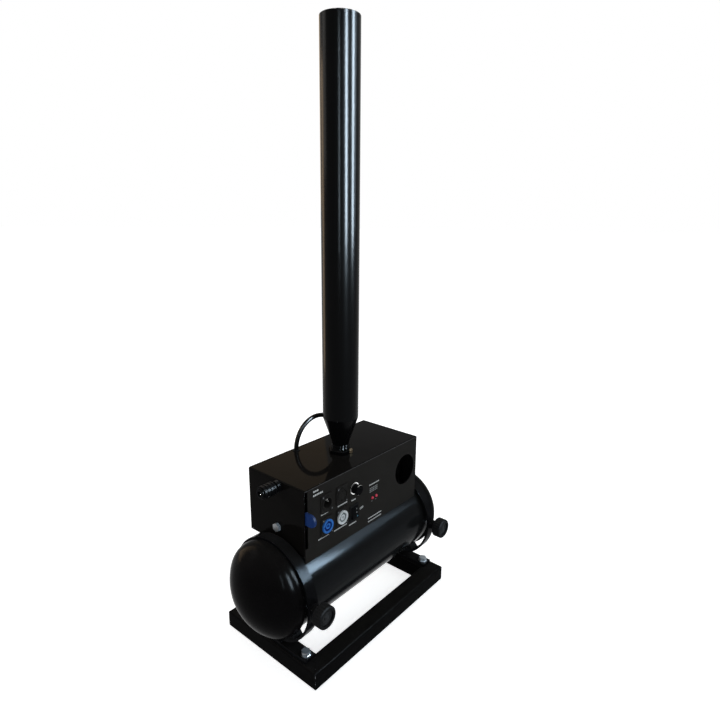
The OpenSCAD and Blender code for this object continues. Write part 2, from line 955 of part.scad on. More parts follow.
module coupling_sleeve() {
    rib = 6.2;
    groove_w = 2;
    color("#1b1c1e") translate([0, coupling_y, coupling_z]) difference() {
        x_rod(sleeve_r, -sleeve_out, -sleeve_in);
        x_rod(coupling_r + run, -sleeve_out - cut, -sleeve_in + cut);
        for (k = [1:3]) {
            translate([k * rib - sleeve_out - groove_w, 0, 0]) difference() {
                x_rod(sleeve_r + 1, 0, groove_w);
                x_rod(sleeve_r - 1, -cut, groove_w + cut);
            }
        }
    }
}

// Inlet pipe from the coupling to the ball valve, and the feed pipe into the tank
module inlet_pipe() {
    valve_end = lever_z + ball_half;
    color("#a9acb0") {
        translate([0, coupling_y, coupling_z]) x_rod(pipe_r, stub_len - hx, ball_x);
        translate([ball_x, coupling_y, coupling_z]) sphere(r = pipe_r);
        translate([ball_x, 0, coupling_z]) y_rod(pipe_r, lever_y, coupling_y);
        translate([ball_x, lever_y, coupling_z]) sphere(r = pipe_r);
        translate([ball_x, lever_y, valve_end])
            cylinder(r = pipe_r, h = coupling_z - valve_end);
    }
}

module ball_valve() {
    stem_end = lever_x - lever_t / 2 - grip_t / 2;
    color("#b9bcc0") difference() {
        union() {
            translate([ball_x, lever_y, lever_z - ball_half + 6])
                cylinder(r = ball_body_r, h = 2 * ball_half - 12);
            for (z = [lever_z - ball_half, lever_z + ball_half - 8]) {
                translate([ball_x, lever_y, z]) z_hex(ball_hex, 8);
            }
            translate([0, lever_y, lever_z]) x_rod(7, lever_x + lever_t / 2 + clear, ball_x);
        }
        translate([0, lever_y, lever_z]) x_rod(spindle_r + run, stem_end, ball_x);
    }
}

module feed_pipe() {
    foot = tank_top - 16;
    color("#a9acb0") translate([ball_x, lever_y, foot])
        pipe(pipe_r, pipe_r - 2, lever_z - ball_half - foot);
}

// Lever plate, its coloured grip, and the spindle and nut that hold it
module lever_outline(half_w, inner, reach) {
    translate([inner, -half_w]) square([reach - inner, 2 * half_w]);
    translate([reach, 0]) circle(r = half_w);
}

module lever_place() {
    translate([lever_x, lever_y, lever_z]) rotate([-90, 0, -90]) children();
}

module valve_lever() {
    color("#b9bcc0") lever_place() translate([0, 0, -lever_t / 2])
        linear_extrude(lever_t) difference() {
            union() {
                circle(r = 8);
                lever_outline(5, 0, grip_reach);
            }
            circle(r = spindle_r);
        }
}

module lever_grip() {
    color("#2a5fc4") lever_place() translate([0, 0, -grip_t / 2]) difference() {
        linear_extrude(grip_t) lever_outline(grip_r, 26, grip_reach);
        translate([0, 0, (grip_t - lever_t) / 2]) linear_extrude(lever_t)
            lever_outline(5, 20, grip_reach);
    }
}

module valve_spindle() {
    nut_out = clear - inner_x;
    color("#b9bcc0") translate([0, lever_y, lever_z]) {
        x_rod(spindle_r, nut_out, ball_x - 6);
        translate([nut_out, 0, 0]) rotate([0, 90, 0])
            z_hex(3 * spindle_r, lever_x - lever_t / 2 - nut_out);
    }
}

// Air hose: one tube swept along an arch between its two fittings
hose_span = norm(hose_b - hose_a) / 2;
hose_mid = (hose_a + hose_b) / 2;
hose_dir = (hose_b - hose_a) / (2 * hose_span);

function arch_point(k) =
    let (a = 180 - 180 * k / hose_steps)
    [hose_span * cos(a), housing_top + hose_rise * sin(a)];

function arch_tangent(k) =
    let (a = 180 - 180 * k / hose_steps)
    let (t = [hose_span * sin(a), -hose_rise * cos(a)])
    t / norm(t);

function hose_ring(u, h, t) = [for (j = [0:hose_sides - 1])
    let (b = 360 * j / hose_sides)
    let (across = hose_r * cos(b))
    let (side = hose_r * sin(b))
    let (pu = u - t[1] * across)
    [hose_mid[0] + hose_dir[0] * pu - hose_dir[1] * side,
     hose_mid[1] + hose_dir[1] * pu + hose_dir[0] * side,
     h + t[0] * across]];

module air_hose() {
    low = housing_top - hose_sink;
    rings = concat(
        [hose_ring(-hose_span, low, [0, 1])],
        [for (k = [0:hose_steps]) hose_ring(arch_point(k)[0], arch_point(k)[1], arch_tangent(k))],
        [hose_ring(hose_span, low, [0, -1])]);
    last = len(rings) - 1;
    points = [for (ring = rings) each ring];
    walls = [for (i = [0:last - 1], j = [0:hose_sides - 1])
        let (n = (j + 1) % hose_sides)
        [i * hose_sides + j, i * hose_sides + n, (i + 1) * hose_sides + n, (i + 1) * hose_sides + j]];
    start = [for (j = [hose_sides - 1:-1:0]) j];
    end = [for (j = [0:hose_sides - 1]) last * hose_sides + j];
    color("#101112") polyhedron(points, concat(walls, [start, end]));
}

module hose_fittings() {
    color("#1b1c1e") for (p = [hose_a, hose_b]) {
        translate([p[0], p[1], housing_top]) difference() {
            union() {
                cylinder(r = fitting_r + 1, h = 1.2);
                translate([0, 0, -fitting_below]) cylinder(r = fitting_r, h = fitting_below + cut);
            }
            translate([0, 0, -hose_sink]) cylinder(r = hose_r, h = hose_sink + 2);
        }
    }
}

module hose_manifold() {
    color("#a6803a") translate([hose_a[0], 0, housing_top - fitting_below])
        box([-manifold_half, back_in - manifold_d, -manifold_h], [manifold_half, back_in, 0]);
}

// Electrics inside the housing
module control_board() {
    color("#1f6a3c") difference() {
        union() {
            box([board_left, board_y, board_low], [board_right, board_y + board_t, board_high]);
            for (k = [1:relay_count]) {
                translate([board_left + 4 + k * relay_pitch, board_y, board_low + 16])
                    box([0, -relay_d, 0], [relay_pitch - 10, cut, relay_h]);
            }
        }
        board_post_places() y_rod(post_r / 2, -cut, board_t + cut);
    }
}

module board_post_places() {
    for (x = [(column_a + column_b) / 2, board_right - post_in],
        z = [board_low + post_in, board_high - post_in]) {
        translate([x, board_y, z]) children();
    }
}

module board_posts() {
    color("#b9bcc0") board_post_places() {
        y_rod(post_r, panel_in - board_y, 0);
        y_rod(post_r / 2, -cut, 2 * board_t);
        y_rod(post_r, board_t, 2 * board_t);
    }
}

module power_supply() {
    color("#a9acb0") difference() {
        box([supply_left, back_in - supply_d, supply_low],
            [supply_right, back_in, board_high]);
        for (k = [1:vent_count]) {
            translate([supply_left - 2.5 + vent_pitch * k, back_in - supply_d, 0])
                box([0, -cut, supply_low + 22], [vent_pitch / 2, 2, board_high - 18]);
        }
    }
}

module pressure_switch() {
    color("#9b9ea2") translate([sensor_x, barrel_y, riser_z]) {
        cylinder(r = sensor_r, h = 16);
        translate([0, 0, 12]) z_hex(17, 8);
        translate([0, 0, 20]) cylinder(r = 9, h = 26);
    }
}

front_rail();
rear_rail();
left_rail();
right_rail();
left_hoop();
right_hoop();
saddle_pads();
foot_bolts();
clamp_bosses();
left_stud();
left_knob();
right_stud();
right_knob();
tank_shell();
left_head();
right_head();
drain_plug();
riser_nipple();
valve_body();
valve_coil();
pilot_block();
stem_nipple();
lock_nuts();
barrel_cone();
barrel_tube();
cover();
front_panel();
rear_panel();
rear_screws();
saddle_brackets();
side_bolts();
dmx_inlet();
dmx_pins();
dmx_outlet();
power_inlet();
power_outlet();
power_plates();
connector_screws();
switch_body();
rocker();
fuse_body();
fuse_ring();
fuse_cap();
indicator_lamps();
coupling_body();
locking_balls();
coupling_sleeve();
inlet_pipe();
ball_valve();
feed_pipe();
valve_lever();
lever_grip();
valve_spindle();
air_hose();
hose_fittings();
hose_manifold();
control_board();
board_posts();
power_supply();
pressure_switch();
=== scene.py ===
# %% [markdown]
# # Confetti blower
# A confetti blower fires a load of paper out of a tall barrel with one burst of air from a tank.
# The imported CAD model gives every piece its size, its place and its moving body. This script
# loads that model and dresses it: softened edges, welds, threads, printed marks and finishes.

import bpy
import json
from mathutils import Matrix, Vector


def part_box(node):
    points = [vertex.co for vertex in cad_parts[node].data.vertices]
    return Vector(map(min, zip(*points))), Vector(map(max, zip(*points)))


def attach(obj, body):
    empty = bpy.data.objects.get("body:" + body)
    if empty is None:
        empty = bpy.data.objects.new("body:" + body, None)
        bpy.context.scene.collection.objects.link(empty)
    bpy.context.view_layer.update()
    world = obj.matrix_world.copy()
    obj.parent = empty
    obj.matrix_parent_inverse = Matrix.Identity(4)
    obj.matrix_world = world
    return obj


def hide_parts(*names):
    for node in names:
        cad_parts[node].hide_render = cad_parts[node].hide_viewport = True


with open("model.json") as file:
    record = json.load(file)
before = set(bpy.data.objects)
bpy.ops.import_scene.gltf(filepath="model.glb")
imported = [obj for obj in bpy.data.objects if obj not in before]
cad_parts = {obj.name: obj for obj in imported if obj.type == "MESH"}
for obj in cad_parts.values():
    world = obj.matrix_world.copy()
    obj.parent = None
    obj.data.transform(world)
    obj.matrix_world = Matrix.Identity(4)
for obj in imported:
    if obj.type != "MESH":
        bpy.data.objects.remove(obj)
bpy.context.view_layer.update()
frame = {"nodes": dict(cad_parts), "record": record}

# %% Blender's modules and the unit
import json
from math import cos, degrees, pi, radians, sin

import bmesh
import bpy
from mathutils import Matrix, Vector

MM = 0.001
scene = bpy.context.scene
print("one millimetre is", MM, "metres")

# %% [markdown]
# ## The camera
# The photograph was solved as a perspective view: straight edges of the housing, the frame and
# the barrel gave the place and the direction. The camera is set before anything is made, because
# every piece is judged from it.

# %% Camera
azimuth = radians(-49.92)
elevation = radians(14.12)
roll = radians(0.52)
camera_spot = (-0.63386, -0.57214, 0.67296)
back = Vector((sin(azimuth) * cos(elevation), -cos(azimuth) * cos(elevation), sin(elevation)))
level = Vector((cos(azimuth), sin(azimuth), 0))
upright = level.cross(-back)
across = cos(roll) * level + sin(roll) * upright
up = cos(roll) * upright - sin(roll) * level
camera_data = bpy.data.cameras.new("camera")
camera_data.sensor_width = 36
camera_data.lens = 27.05
camera_data.shift_x = -0.0036
camera = bpy.data.objects.new("camera", camera_data)
camera_turn = Matrix((across, up, back)).transposed().to_4x4()
camera.matrix_world = Matrix.Translation(camera_spot) @ camera_turn
scene.collection.objects.link(camera)
scene.camera = camera
print("camera looks down by", round(degrees(elevation), 2), "degrees")

# %% [markdown]
# ## The air hose
# A short pilot hose leaves the top of the housing, arches over and goes back in. Both ends are
# seen in the photograph, so its length is what the arch measures. A curve with a round bevel is
# the natural way to make a hose: its line can be measured, and its thickness is one number.

# %% Air hose
housing_top = 296.5 * MM
hose_start = Vector((-48, 67.5, 0)) * MM
hose_end = Vector((36, 42.2, 0)) * MM
hose_rise = 55 * MM
hose_sink = 10 * MM
hose_diameter = 8 * MM
hose_steps = 36


def arch_point(step):
    """A point of the half ellipse between the two fittings."""
    turn = pi * step / hose_steps
    middle = (hose_start + hose_end) / 2
    half = (hose_start - hose_end) / 2
    return middle + half * cos(turn) + Vector((0, 0, housing_top + hose_rise * sin(turn)))


hose_line = [arch_point(step) for step in range(hose_steps + 1)]
hose_line.insert(0, hose_line[0] - Vector((0, 0, hose_sink)))
hose_line.append(hose_line[-1] - Vector((0, 0, hose_sink)))
hose_curve = bpy.data.curves.new("air_hose_tube", "CURVE")
hose_curve.dimensions = "3D"
hose_curve.bevel_depth = 1.0
hose_curve.bevel_resolution = 5
hose_curve.use_fill_caps = True
spline = hose_curve.splines.new("POLY")
spline.points.add(len(hose_line) - 1)
for point, place in zip(spline.points, hose_line):
    point.co = (*place, 1)
    point.radius = hose_diameter / 2
spline.use_smooth = True
air_hose = bpy.data.objects.new("air_hose_tube", hose_curve)
scene.collection.objects.link(air_hose)
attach(air_hose, "carriage")
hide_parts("air_hose")

# %% [markdown]
# ## Shader tools
# Every finish is procedural. One helper adds a node and feeds its sockets, another opens a node
# group, so that effects which several finishes share are built once and placed with their own
# values. The groups put out only masks, values and colours: each shader stays in its material.

# %% Helpers for shader nodes
def put(tree, kind, settings=None, **sockets):
    """Adds a shader node. A socket is given a value, or the output that feeds it."""
    node = tree.nodes.new("ShaderNode" + kind)
    for name, value in (settings or {}).items():
        setattr(node, name, value)
    for name, value in sockets.items():
        key = int(name[5:]) if name.startswith("input") else name.replace("_", " ")
        if isinstance(value, bpy.types.NodeSocket):
            tree.links.new(value, node.inputs[key])
        else:
            node.inputs[key].default_value = value
    return node


def math_node(tree, operation, first, second=0.0, clamp=False):
    """The result of one sum on two values."""
    settings = {"operation": operation, "use_clamp": clamp}
    return put(tree, "Math", settings, input0=first, input1=second).outputs[0]


def mixed_color(tree, share, first, second):
    """The first colour, going over to the second as the share goes from 0 to 1."""
    mix = put(tree, "Mix", {"data_type": "RGBA"}, input0=share, input6=first, input7=second)
    return mix.outputs[2]


def object_place(tree):
    """The place of a point in the object's own coordinates, so a pattern never slides."""
    return put(tree, "TexCoord").outputs["Object"]


def open_tree(holder):
    """Turns on the nodes of a material or world and empties them."""
    holder.use_nodes = True
    holder.node_tree.nodes.clear()
    return holder.node_tree


def new_group(name, inputs, outputs):
    """Opens a node group; returns it with its input and output sockets."""
    tree = bpy.data.node_groups.new(name, "ShaderNodeTree")
    for label, value in inputs.items():
        is_color = isinstance(value, tuple)
        kind = "NodeSocketColor" if is_color else "NodeSocketFloat"
        socket = tree.interface.new_socket(label, in_out="INPUT", socket_type=kind)
        socket.default_value = value
    for label, kind in outputs.items():
        tree.interface.new_socket(label, in_out="OUTPUT", socket_type="NodeSocket" + kind)
    given = tree.nodes.new("NodeGroupInput").outputs
    wanted = tree.nodes.new("NodeGroupOutput").inputs
    return tree, given, wanted


def place_group(tree, group, **sockets):
    """Places a group in a material with its own values."""
    return put(tree, "Group", {"node_tree": group}, **sockets).outputs


# %% [markdown]
# ### Shared effects
# Mottle shifts a colour a little from place to place, as any real coat does. Grain is the fine
# height of powder coat or moulded plastic. Smudge varies the gloss as hands leave it. Edge wear
# reads the "edge" attribute that the softened corners carry and breaks it up with noise. Dust
# lies on what faces up. Brush stretches noise along one direction for drawn or turned metal.
# Noise runs from 0 to 1 round a middle of 0.5, so it is centred and doubled where it has to
# swing both ways.

# %% Mottle
noise_middle = 0.5
noise_span = 2.0
mottle, given, wanted = new_group(
    "mottle", {"Color": (0.5, 0.5, 0.5, 1), "Scale": 20.0, "Amount": 0.1}, {"Color": "Color"})
place = object_place(mottle)
cloud = put(mottle, "TexNoise", Vector=place, Scale=given["Scale"], Detail=5.0).outputs["Fac"]
centred = math_node(mottle, "SUBTRACT", cloud, noise_middle)
swing = math_node(mottle, "MULTIPLY", centred, given["Amount"])
factor = math_node(mottle, "ADD", math_node(mottle, "MULTIPLY", swing, noise_span), 1.0)
tinted = put(mottle, "VectorMath", {"operation": "SCALE"}, input0=given["Color"], Scale=factor)
mottle.links.new(tinted.outputs[0], wanted["Color"])
print("mottle nodes:", len(mottle.nodes))

# %% Grain
grain, given, wanted = new_group("grain", {"Scale": 900.0, "Depth": 1.0}, {"Height": "Float"})
place = object_place(grain)
fine = put(grain, "TexNoise", Vector=place, Scale=given["Scale"], Detail=2.0).outputs["Fac"]
cells = put(grain, "TexVoronoi", {"feature": "SMOOTH_F1"}, Vector=place,
            Scale=given["Scale"]).outputs["Distance"]
height = math_node(grain, "MULTIPLY", math_node(grain, "ADD", fine, cells), given["Depth"])
grain.links.new(height, wanted["Height"])
print("grain nodes:", len(grain.nodes))

# %% Smudge
smudge, given, wanted = new_group(
    "smudge", {"Roughness": 0.4, "Scale": 14.0, "Amount": 0.1}, {"Roughness": "Float"})
patches = put(smudge, "TexNoise", Vector=object_place(smudge), Scale=given["Scale"], Detail=6.0,
              Roughness=0.65, Distortion=0.6).outputs["Fac"]
centred = math_node(smudge, "SUBTRACT", patches, noise_middle)
swing = math_node(smudge, "MULTIPLY", centred, noise_span)
change = math_node(smudge, "MULTIPLY", swing, given["Amount"])
smudge.links.new(math_node(smudge, "ADD", given["Roughness"], change, clamp=True),
                 wanted["Roughness"])
print("smudge nodes:", len(smudge.nodes))

# %% Edge wear
chip_limit = 0.8
chip_reach = 0.5
chip_sharpness = 14.0
edge_wear, given, wanted = new_group(
    "edge_wear", {"Amount": 0.5, "Scale": 160.0}, {"Mask": "Float"})
chips = put(edge_wear, "TexNoise", Vector=object_place(edge_wear), Scale=given["Scale"],
            Detail=4.0, Roughness=0.6).outputs["Fac"]
edge = put(edge_wear, "Attribute", {"attribute_name": "edge"}).outputs["Fac"]
reach = math_node(edge_wear, "MULTIPLY", given["Amount"], chip_reach)
limit = math_node(edge_wear, "SUBTRACT", chip_limit, reach)
above = math_node(edge_wear, "SUBTRACT", chips, limit)
broken = math_node(edge_wear, "MULTIPLY", above, chip_sharpness, clamp=True)
edge_wear.links.new(math_node(edge_wear, "MULTIPLY", broken, edge), wanted["Mask"])
print("edge_wear nodes:", len(edge_wear.nodes))

# %% Dust
upward_from = 0.35
upward_gain = 1.6
dust_gain = 2.4
dust, given, wanted = new_group("dust", {"Amount": 0.2, "Scale": 35.0}, {"Mask": "Float"})
coordinates = put(dust, "TexCoord").outputs
upward = put(dust, "SeparateXYZ", Vector=coordinates["Normal"]).outputs["Z"]
tipped = math_node(dust, "SUBTRACT", upward, upward_from)
facing = math_node(dust, "MULTIPLY", tipped, upward_gain, clamp=True)
drift = put(dust, "TexNoise", Vector=coordinates["Object"], Scale=given["Scale"], Detail=8.0,
            Roughness=0.7).outputs["Fac"]
speck = put(dust, "TexNoise", Vector=coordinates["Object"], Scale=1400.0).outputs["Fac"]
lying = math_node(dust, "MULTIPLY", math_node(dust, "MULTIPLY", drift, speck), dust_gain)
covered = math_node(dust, "MULTIPLY", math_node(dust, "MULTIPLY", facing, lying), given["Amount"],
                    clamp=True)
dust.links.new(covered, wanted["Mask"])
print("dust nodes:", len(dust.nodes))

# %% Brush
brush, given, wanted = new_group(
    "brush", {"Along X": 40.0, "Along Y": 40.0, "Along Z": 1500.0}, {"Value": "Float"})
stretch = put(brush, "CombineXYZ", X=given["Along X"], Y=given["Along Y"], Z=given["Along Z"])
drawn = put(brush, "VectorMath", {"operation": "MULTIPLY"}, input0=object_place(brush),
            input1=stretch.outputs[0]).outputs[0]
lines = put(brush, "TexNoise", Vector=drawn, Scale=1.0, Detail=3.0).outputs["Fac"]
brush.links.new(lines, wanted["Value"])
print("node groups:", sorted(group.name for group in bpy.data.node_groups))

# %% [markdown]
# ## Finishes
# Two functions cover nearly all of the object. A coated finish is a layer of paint or plastic
# with grain, smudges and dust, and its edges show what lies under it. A metal finish is bare
# metal with brushing and tarnish. What is the same all over is set on the shader itself. The
# brass nut's black coat is painted shade, and a ragged ball of noise shows brass at one small
# corner as a painted highlight where light falls on it.

# %% Coated finishes
finishes = {}
STEEL = (0.42, 0.43, 0.45, 1)
DUST = (0.30, 0.29, 0.27, 1)
dust_dulls = 0.5
wear_sinks = 0.8
spot_raggedness = 0.3
spot_sharpness = 2500.0


def spot_mask(tree, centre, radius):
    """White within a ragged ball round a point: a painted highlight that lets the colour under
    the coat show where light falls.
    """
    place = object_place(tree)
    away = put(tree, "VectorMath", {"operation": "DISTANCE"}, input0=place, input1=centre)
    ragged = put(tree, "TexNoise", Vector=place, Scale=700.0, Detail=3.0).outputs["Fac"]
    extra = math_node(tree, "MULTIPLY", ragged, spot_raggedness * radius)
    reach = math_node(tree, "ADD", radius, extra)
    inside = math_node(tree, "SUBTRACT", reach, away.outputs["Value"])
    return math_node(tree, "MULTIPLY", inside, spot_sharpness, clamp=True)


def coated(slot, color, roughness, specular, grain_scale, grain_depth, wear=0.5, under=STEEL,
           under_metal=1.0, mottling=0.25, smears=0.1, dustiness=0.04, lit_spot=None,
           gleam=(1, 1, 1, 1)):
    """Paint, powder coat or moulded plastic, with its edges worn to what is under it."""
    material = bpy.data.materials.new(slot)
    tree = open_tree(material)
    tinted = place_group(tree, mottle, Color=(*color, 1), Scale=26.0, Amount=mottling)["Color"]
    worn = place_group(tree, edge_wear, Amount=wear, Scale=170.0)["Mask"]
    # A lit spot is a painted highlight: the colour under the coat shows there, and the coat
    # elsewhere stands for shade.
    if lit_spot:
        worn = math_node(tree, "MAXIMUM", worn, spot_mask(tree, *lit_spot))
    dusty = place_group(tree, dust, Amount=dustiness)["Mask"]
    shown = mixed_color(tree, dusty, mixed_color(tree, worn, tinted, under), DUST)
    gloss = place_group(tree, smudge, Roughness=roughness, Scale=17.0,
                        Amount=smears)["Roughness"]
    gloss = math_node(tree, "ADD", gloss, math_node(tree, "MULTIPLY", dusty, dust_dulls),
                      clamp=True)
    metal = math_node(tree, "MULTIPLY", worn, under_metal)
    height = place_group(tree, grain, Scale=grain_scale, Depth=1.0)["Height"]
    height = math_node(tree, "SUBTRACT", height, math_node(tree, "MULTIPLY", worn, wear_sinks))
    bump = put(tree, "Bump", Strength=1.0, Distance=grain_depth, Height=height)
    shader = put(tree, "BsdfPrincipled", Base_Color=shown, Roughness=gloss, Metallic=metal,
                 Normal=bump.outputs[0], Specular_IOR_Level=specular, Specular_Tint=gleam)
    put(tree, "OutputMaterial", Surface=shader.outputs[0])
    finishes[slot] = material


def moulded(slot, color, roughness, specular, grain_scale, grain_depth, under, **more):
    """The same layers with a paler plastic, not metal, where the edges are worn."""
    coated(slot, color, roughness, specular, grain_scale, grain_depth, under=(*under, 1),
           under_metal=0.0, **more)


# %% [markdown]
# ### Paint and powder coat
# All of these are black, and what tells them apart is gloss and grain. Each line gives the
# colour, the roughness, the specular level, and the grain's scale and depth. The room round the
# object is white, so the specular levels are low: a usual one would turn black paint grey. The
# tank and its straps throw light back bluish, which a tint on the gleam gives.

# %% Paints and powder coats
COOL_GLEAM = (0.76, 0.89, 1.0, 1)
coated("black_powder_coat", (0.0092, 0.0088, 0.0082), 0.28, 0.0015, 1500, 0.00003, wear=0.34)
coated("cover_coat", (0.0052, 0.0047, 0.0044), 0.05, 0.0062, 900, 0.000003, wear=0.34,
       mottling=0.15, smears=0.03, dustiness=0.012)
coated("rail_paint", (0.0046, 0.0045, 0.0046), 0.26, 0.0018, 1500, 0.00003, wear=0.36)
coated("panel_coat", (0.0222, 0.0212, 0.0198), 0.36, 0.003, 1700, 0.00003, wear=0.28,
       mottling=0.12)
coated("gloss_black_paint", (0.0080, 0.0084, 0.0088), 0.14, 0.0160, 520, 0.000034, wear=0.30,
       smears=0.05, dustiness=0.02, gleam=COOL_GLEAM)
coated("barrel_paint", (0.0030, 0.0031, 0.0034), 0.19, 0.026, 520, 0.000020, wear=0.30,
       smears=0.03, dustiness=0.03)
coated("collar_paint", (0.0030, 0.0031, 0.0034), 0.05, 0.012, 520, 0.000004, wear=0.20,
       smears=0.03, dustiness=0.02)
coated("head_paint", (0.0046, 0.0042, 0.0044), 0.18, 0.0040, 520, 0.000022, wear=0.30,
       smears=0.05, dustiness=0.03)
coated("strap_paint", (0.0062, 0.0063, 0.0072), 0.15, 0.0062, 500, 0.000012, wear=0.36,
       gleam=COOL_GLEAM)
print("paints:", sorted(finishes))

# %% [markdown]
# ### Plastic, rubber and ink
# Moulded parts are rougher than paint and their rubbed edges turn paler, not metallic. The
# sockets' grooves are the same plastic in shadow, so they have darker finishes of their own.
# Ink is matt, and a strong mottle makes small print look unevenly laid.

# %% Plastics, rubber and ink
CHARCOAL = (0.03, 0.03, 0.03)
moulded("connector_body", (0.0220, 0.0212, 0.0200), 0.40, 0.003, 2200, 0.00002, CHARCOAL,
        wear=0.10)
coated("groove_blue", (0.001, 0.012, 0.105), 0.40, 0.01, 1800, 0.00001, wear=0.0)
coated("groove_grey", (0.150, 0.175, 0.180), 0.40, 0.01, 1800, 0.00001, wear=0.0)
moulded("black_plastic", (0.0110, 0.0110, 0.0115), 0.50, 0.008, 2200, 0.00003, CHARCOAL,
        wear=0.12)
moulded("knob_face", (0.0260, 0.0265, 0.0275), 0.55, 0.012, 1800, 0.00004, (0.06, 0.06, 0.06),
        wear=0.35)
moulded("gloss_black_plastic", (0.0050, 0.0050, 0.0056), 0.42, 0.002, 1200, 0.00001,
        (0.04, 0.04, 0.04), wear=0.1, smears=0.08)
moulded("blue_plastic", (0.015, 0.145, 0.53), 0.40, 0.05, 1800, 0.00001, (0.12, 0.32, 0.66),
        wear=0.4, mottling=0.12)
moulded("grip_blue", (0.011, 0.036, 0.150), 0.50, 0.02, 1300, 0.00003, (0.02, 0.09, 0.36),
        wear=0.4, mottling=0.2)
moulded("white_plastic", (0.66, 0.70, 0.72), 0.36, 0.07, 1800, 0.00001, (0.78, 0.79, 0.80),
        wear=0.3, mottling=0.06)
moulded("rubber", (0.0075, 0.0075, 0.0078), 0.72, 0.008, 1600, 0.00006, CHARCOAL, wear=0.3)
coated("hose_black", (0.0050, 0.0048, 0.0044), 0.19, 0.080, 900, 0.00001, wear=0.0, smears=0.07)
moulded("board_green", (0.008, 0.075, 0.026), 0.38, 0.07, 1300, 0.00001, (0.30, 0.26, 0.12),
        wear=0.2, dustiness=0.3)
coated("print_white", (0.62, 0.64, 0.63), 0.55, 0.04, 2600, 0.00001, wear=0.0, mottling=0.2)
coated("print_grey", (0.230, 0.240, 0.235), 0.55, 0.04, 2600, 0.00001, wear=0.0, mottling=0.4)
coated("print_blue", (0.040, 0.150, 0.220), 0.55, 0.04, 2600, 0.00001, wear=0.0, mottling=0.3)
print("finishes so far:", len(finishes))

# %% [markdown]
# ### Coated metal
# Black steel and small screws are metal under a thin coat. The brass nut's black coat is painted
# shade, and its one lit corner is left brass as a painted highlight. The pins are so small that
# a pale coat, a painted glint, shows them better than a mirror would, because in a mirror they
# would take the colour of the dark socket round them.

# %% Coated metal
# The lit corner of the nut, a painted highlight in brass; the rest of the nut is painted shade.
lit_brass_corner = Vector((7.5, -12.1, 299.5)) * MM
lit_brass_reach = 6.0 * MM
coated("black_steel", (0.0052, 0.0052, 0.0060), 0.30, 0.010, 1600, 0.00002, wear=0.35)
coated("brass_under_painted_shade", (0.0032, 0.0032, 0.0036), 0.26, 0.004, 900, 0.00001, wear=0.0,
       under=(0.155, 0.118, 0.076, 1), under_metal=0.1, lit_spot=(lit_brass_corner, lit_brass_reach))
coated("dull_screw", (0.030, 0.030, 0.031), 0.38, 0.01, 1600, 0.00001, wear=0.35)
# A pale coat standing for the glints of bright metal: a painted glint on the pins and the fuse
# cap's arcs.
coated("pale_painted_glint", (0.80, 0.79, 0.74), 0.30, 0.20, 1600, 0.00001, wear=0.2)
# A paler grey for the top edge of the panel: a painted highlight.
coated("edge_highlight_paint", (0.075, 0.076, 0.078), 0.40, 0.01, 1600, 0.00001, wear=0.0, mottling=0.5)
print("coated finishes:", sorted(finishes))

# %% [markdown]
# ### Bare metal
# Bolts, pipes and fittings are plated or plain metal. Fine lines come from the brush group,
# tarnish is a darker shade of the metal in patches of noise, and rubbed edges stay bright.

# %% Metal finishes
tarnish_from = 0.52
tarnish_gain = 4.0
tarnish_dulls = 0.18
rubbing_polishes = 0.09


def bare_metal(slot, color, roughness, brushing, along, dull=0.5, mottling=0.12):
    """Bare or plated metal: brushed, a little tarnished, bright where its edges are rubbed."""
    material = bpy.data.materials.new(slot)
    tree = open_tree(material)
    fresh = place_group(tree, mottle, Color=(*color, 1), Scale=60.0, Amount=mottling)["Color"]
    tarnish = (*[dull * part for part in color], 1)
    spots = put(tree, "TexNoise", Vector=object_place(tree), Scale=90.0, Detail=6.0,
                Roughness=0.7).outputs["Fac"]
    spots = math_node(tree, "SUBTRACT", spots, tarnish_from)
    spots = math_node(tree, "MULTIPLY", spots, tarnish_gain, clamp=True)
    rubbed = place_group(tree, edge_wear, Amount=1.0, Scale=120.0)["Mask"]
    spots = math_node(tree, "SUBTRACT", spots, rubbed, clamp=True)
    aged = mixed_color(tree, spots, fresh, tarnish)
    lines = place_group(tree, brush, Along_X=along[0], Along_Y=along[1],
                        Along_Z=along[2])["Value"]
    gloss = place_group(tree, smudge, Roughness=roughness, Scale=40.0, Amount=0.08)["Roughness"]
    duller = math_node(tree, "MULTIPLY", spots, tarnish_dulls)
    gloss = math_node(tree, "ADD", gloss, duller, clamp=True)
    polish = math_node(tree, "MULTIPLY", rubbed, rubbing_polishes)
    gloss = math_node(tree, "SUBTRACT", gloss, polish, clamp=True)
    bump = put(tree, "Bump", Strength=1.0, Distance=brushing, Height=lines)
    shader = put(tree, "BsdfPrincipled", Base_Color=aged, Metallic=1.0, Roughness=gloss,
                 Normal=bump.outputs[0])
    put(tree, "OutputMaterial", Surface=shader.outputs[0])
    finishes[slot] = material


bare_metal("zinc", (0.17, 0.175, 0.18), 0.32, 0.00001, (300, 300, 900))
bare_metal("steel", (0.42, 0.42, 0.43), 0.32, 0.00001, (900, 300, 300))
bare_metal("nickel", (0.74, 0.73, 0.71), 0.12, 0.000004, (600, 600, 600), dull=0.75)
bare_metal("brass", (0.58, 0.42, 0.19), 0.28, 0.00001, (300, 300, 1200), dull=0.4)
bare_metal("galvanised", (0.46, 0.47, 0.48), 0.42, 0.00001, (120, 120, 120), mottling=0.3)
print("all finishes:", sorted(finishes))

# %% [markdown]
# ### Indicator lamps
# Small red lenses glow faintly when the power is on. A tinted plastic with a little emission
# reads as a lit lamp without lighting anything else.

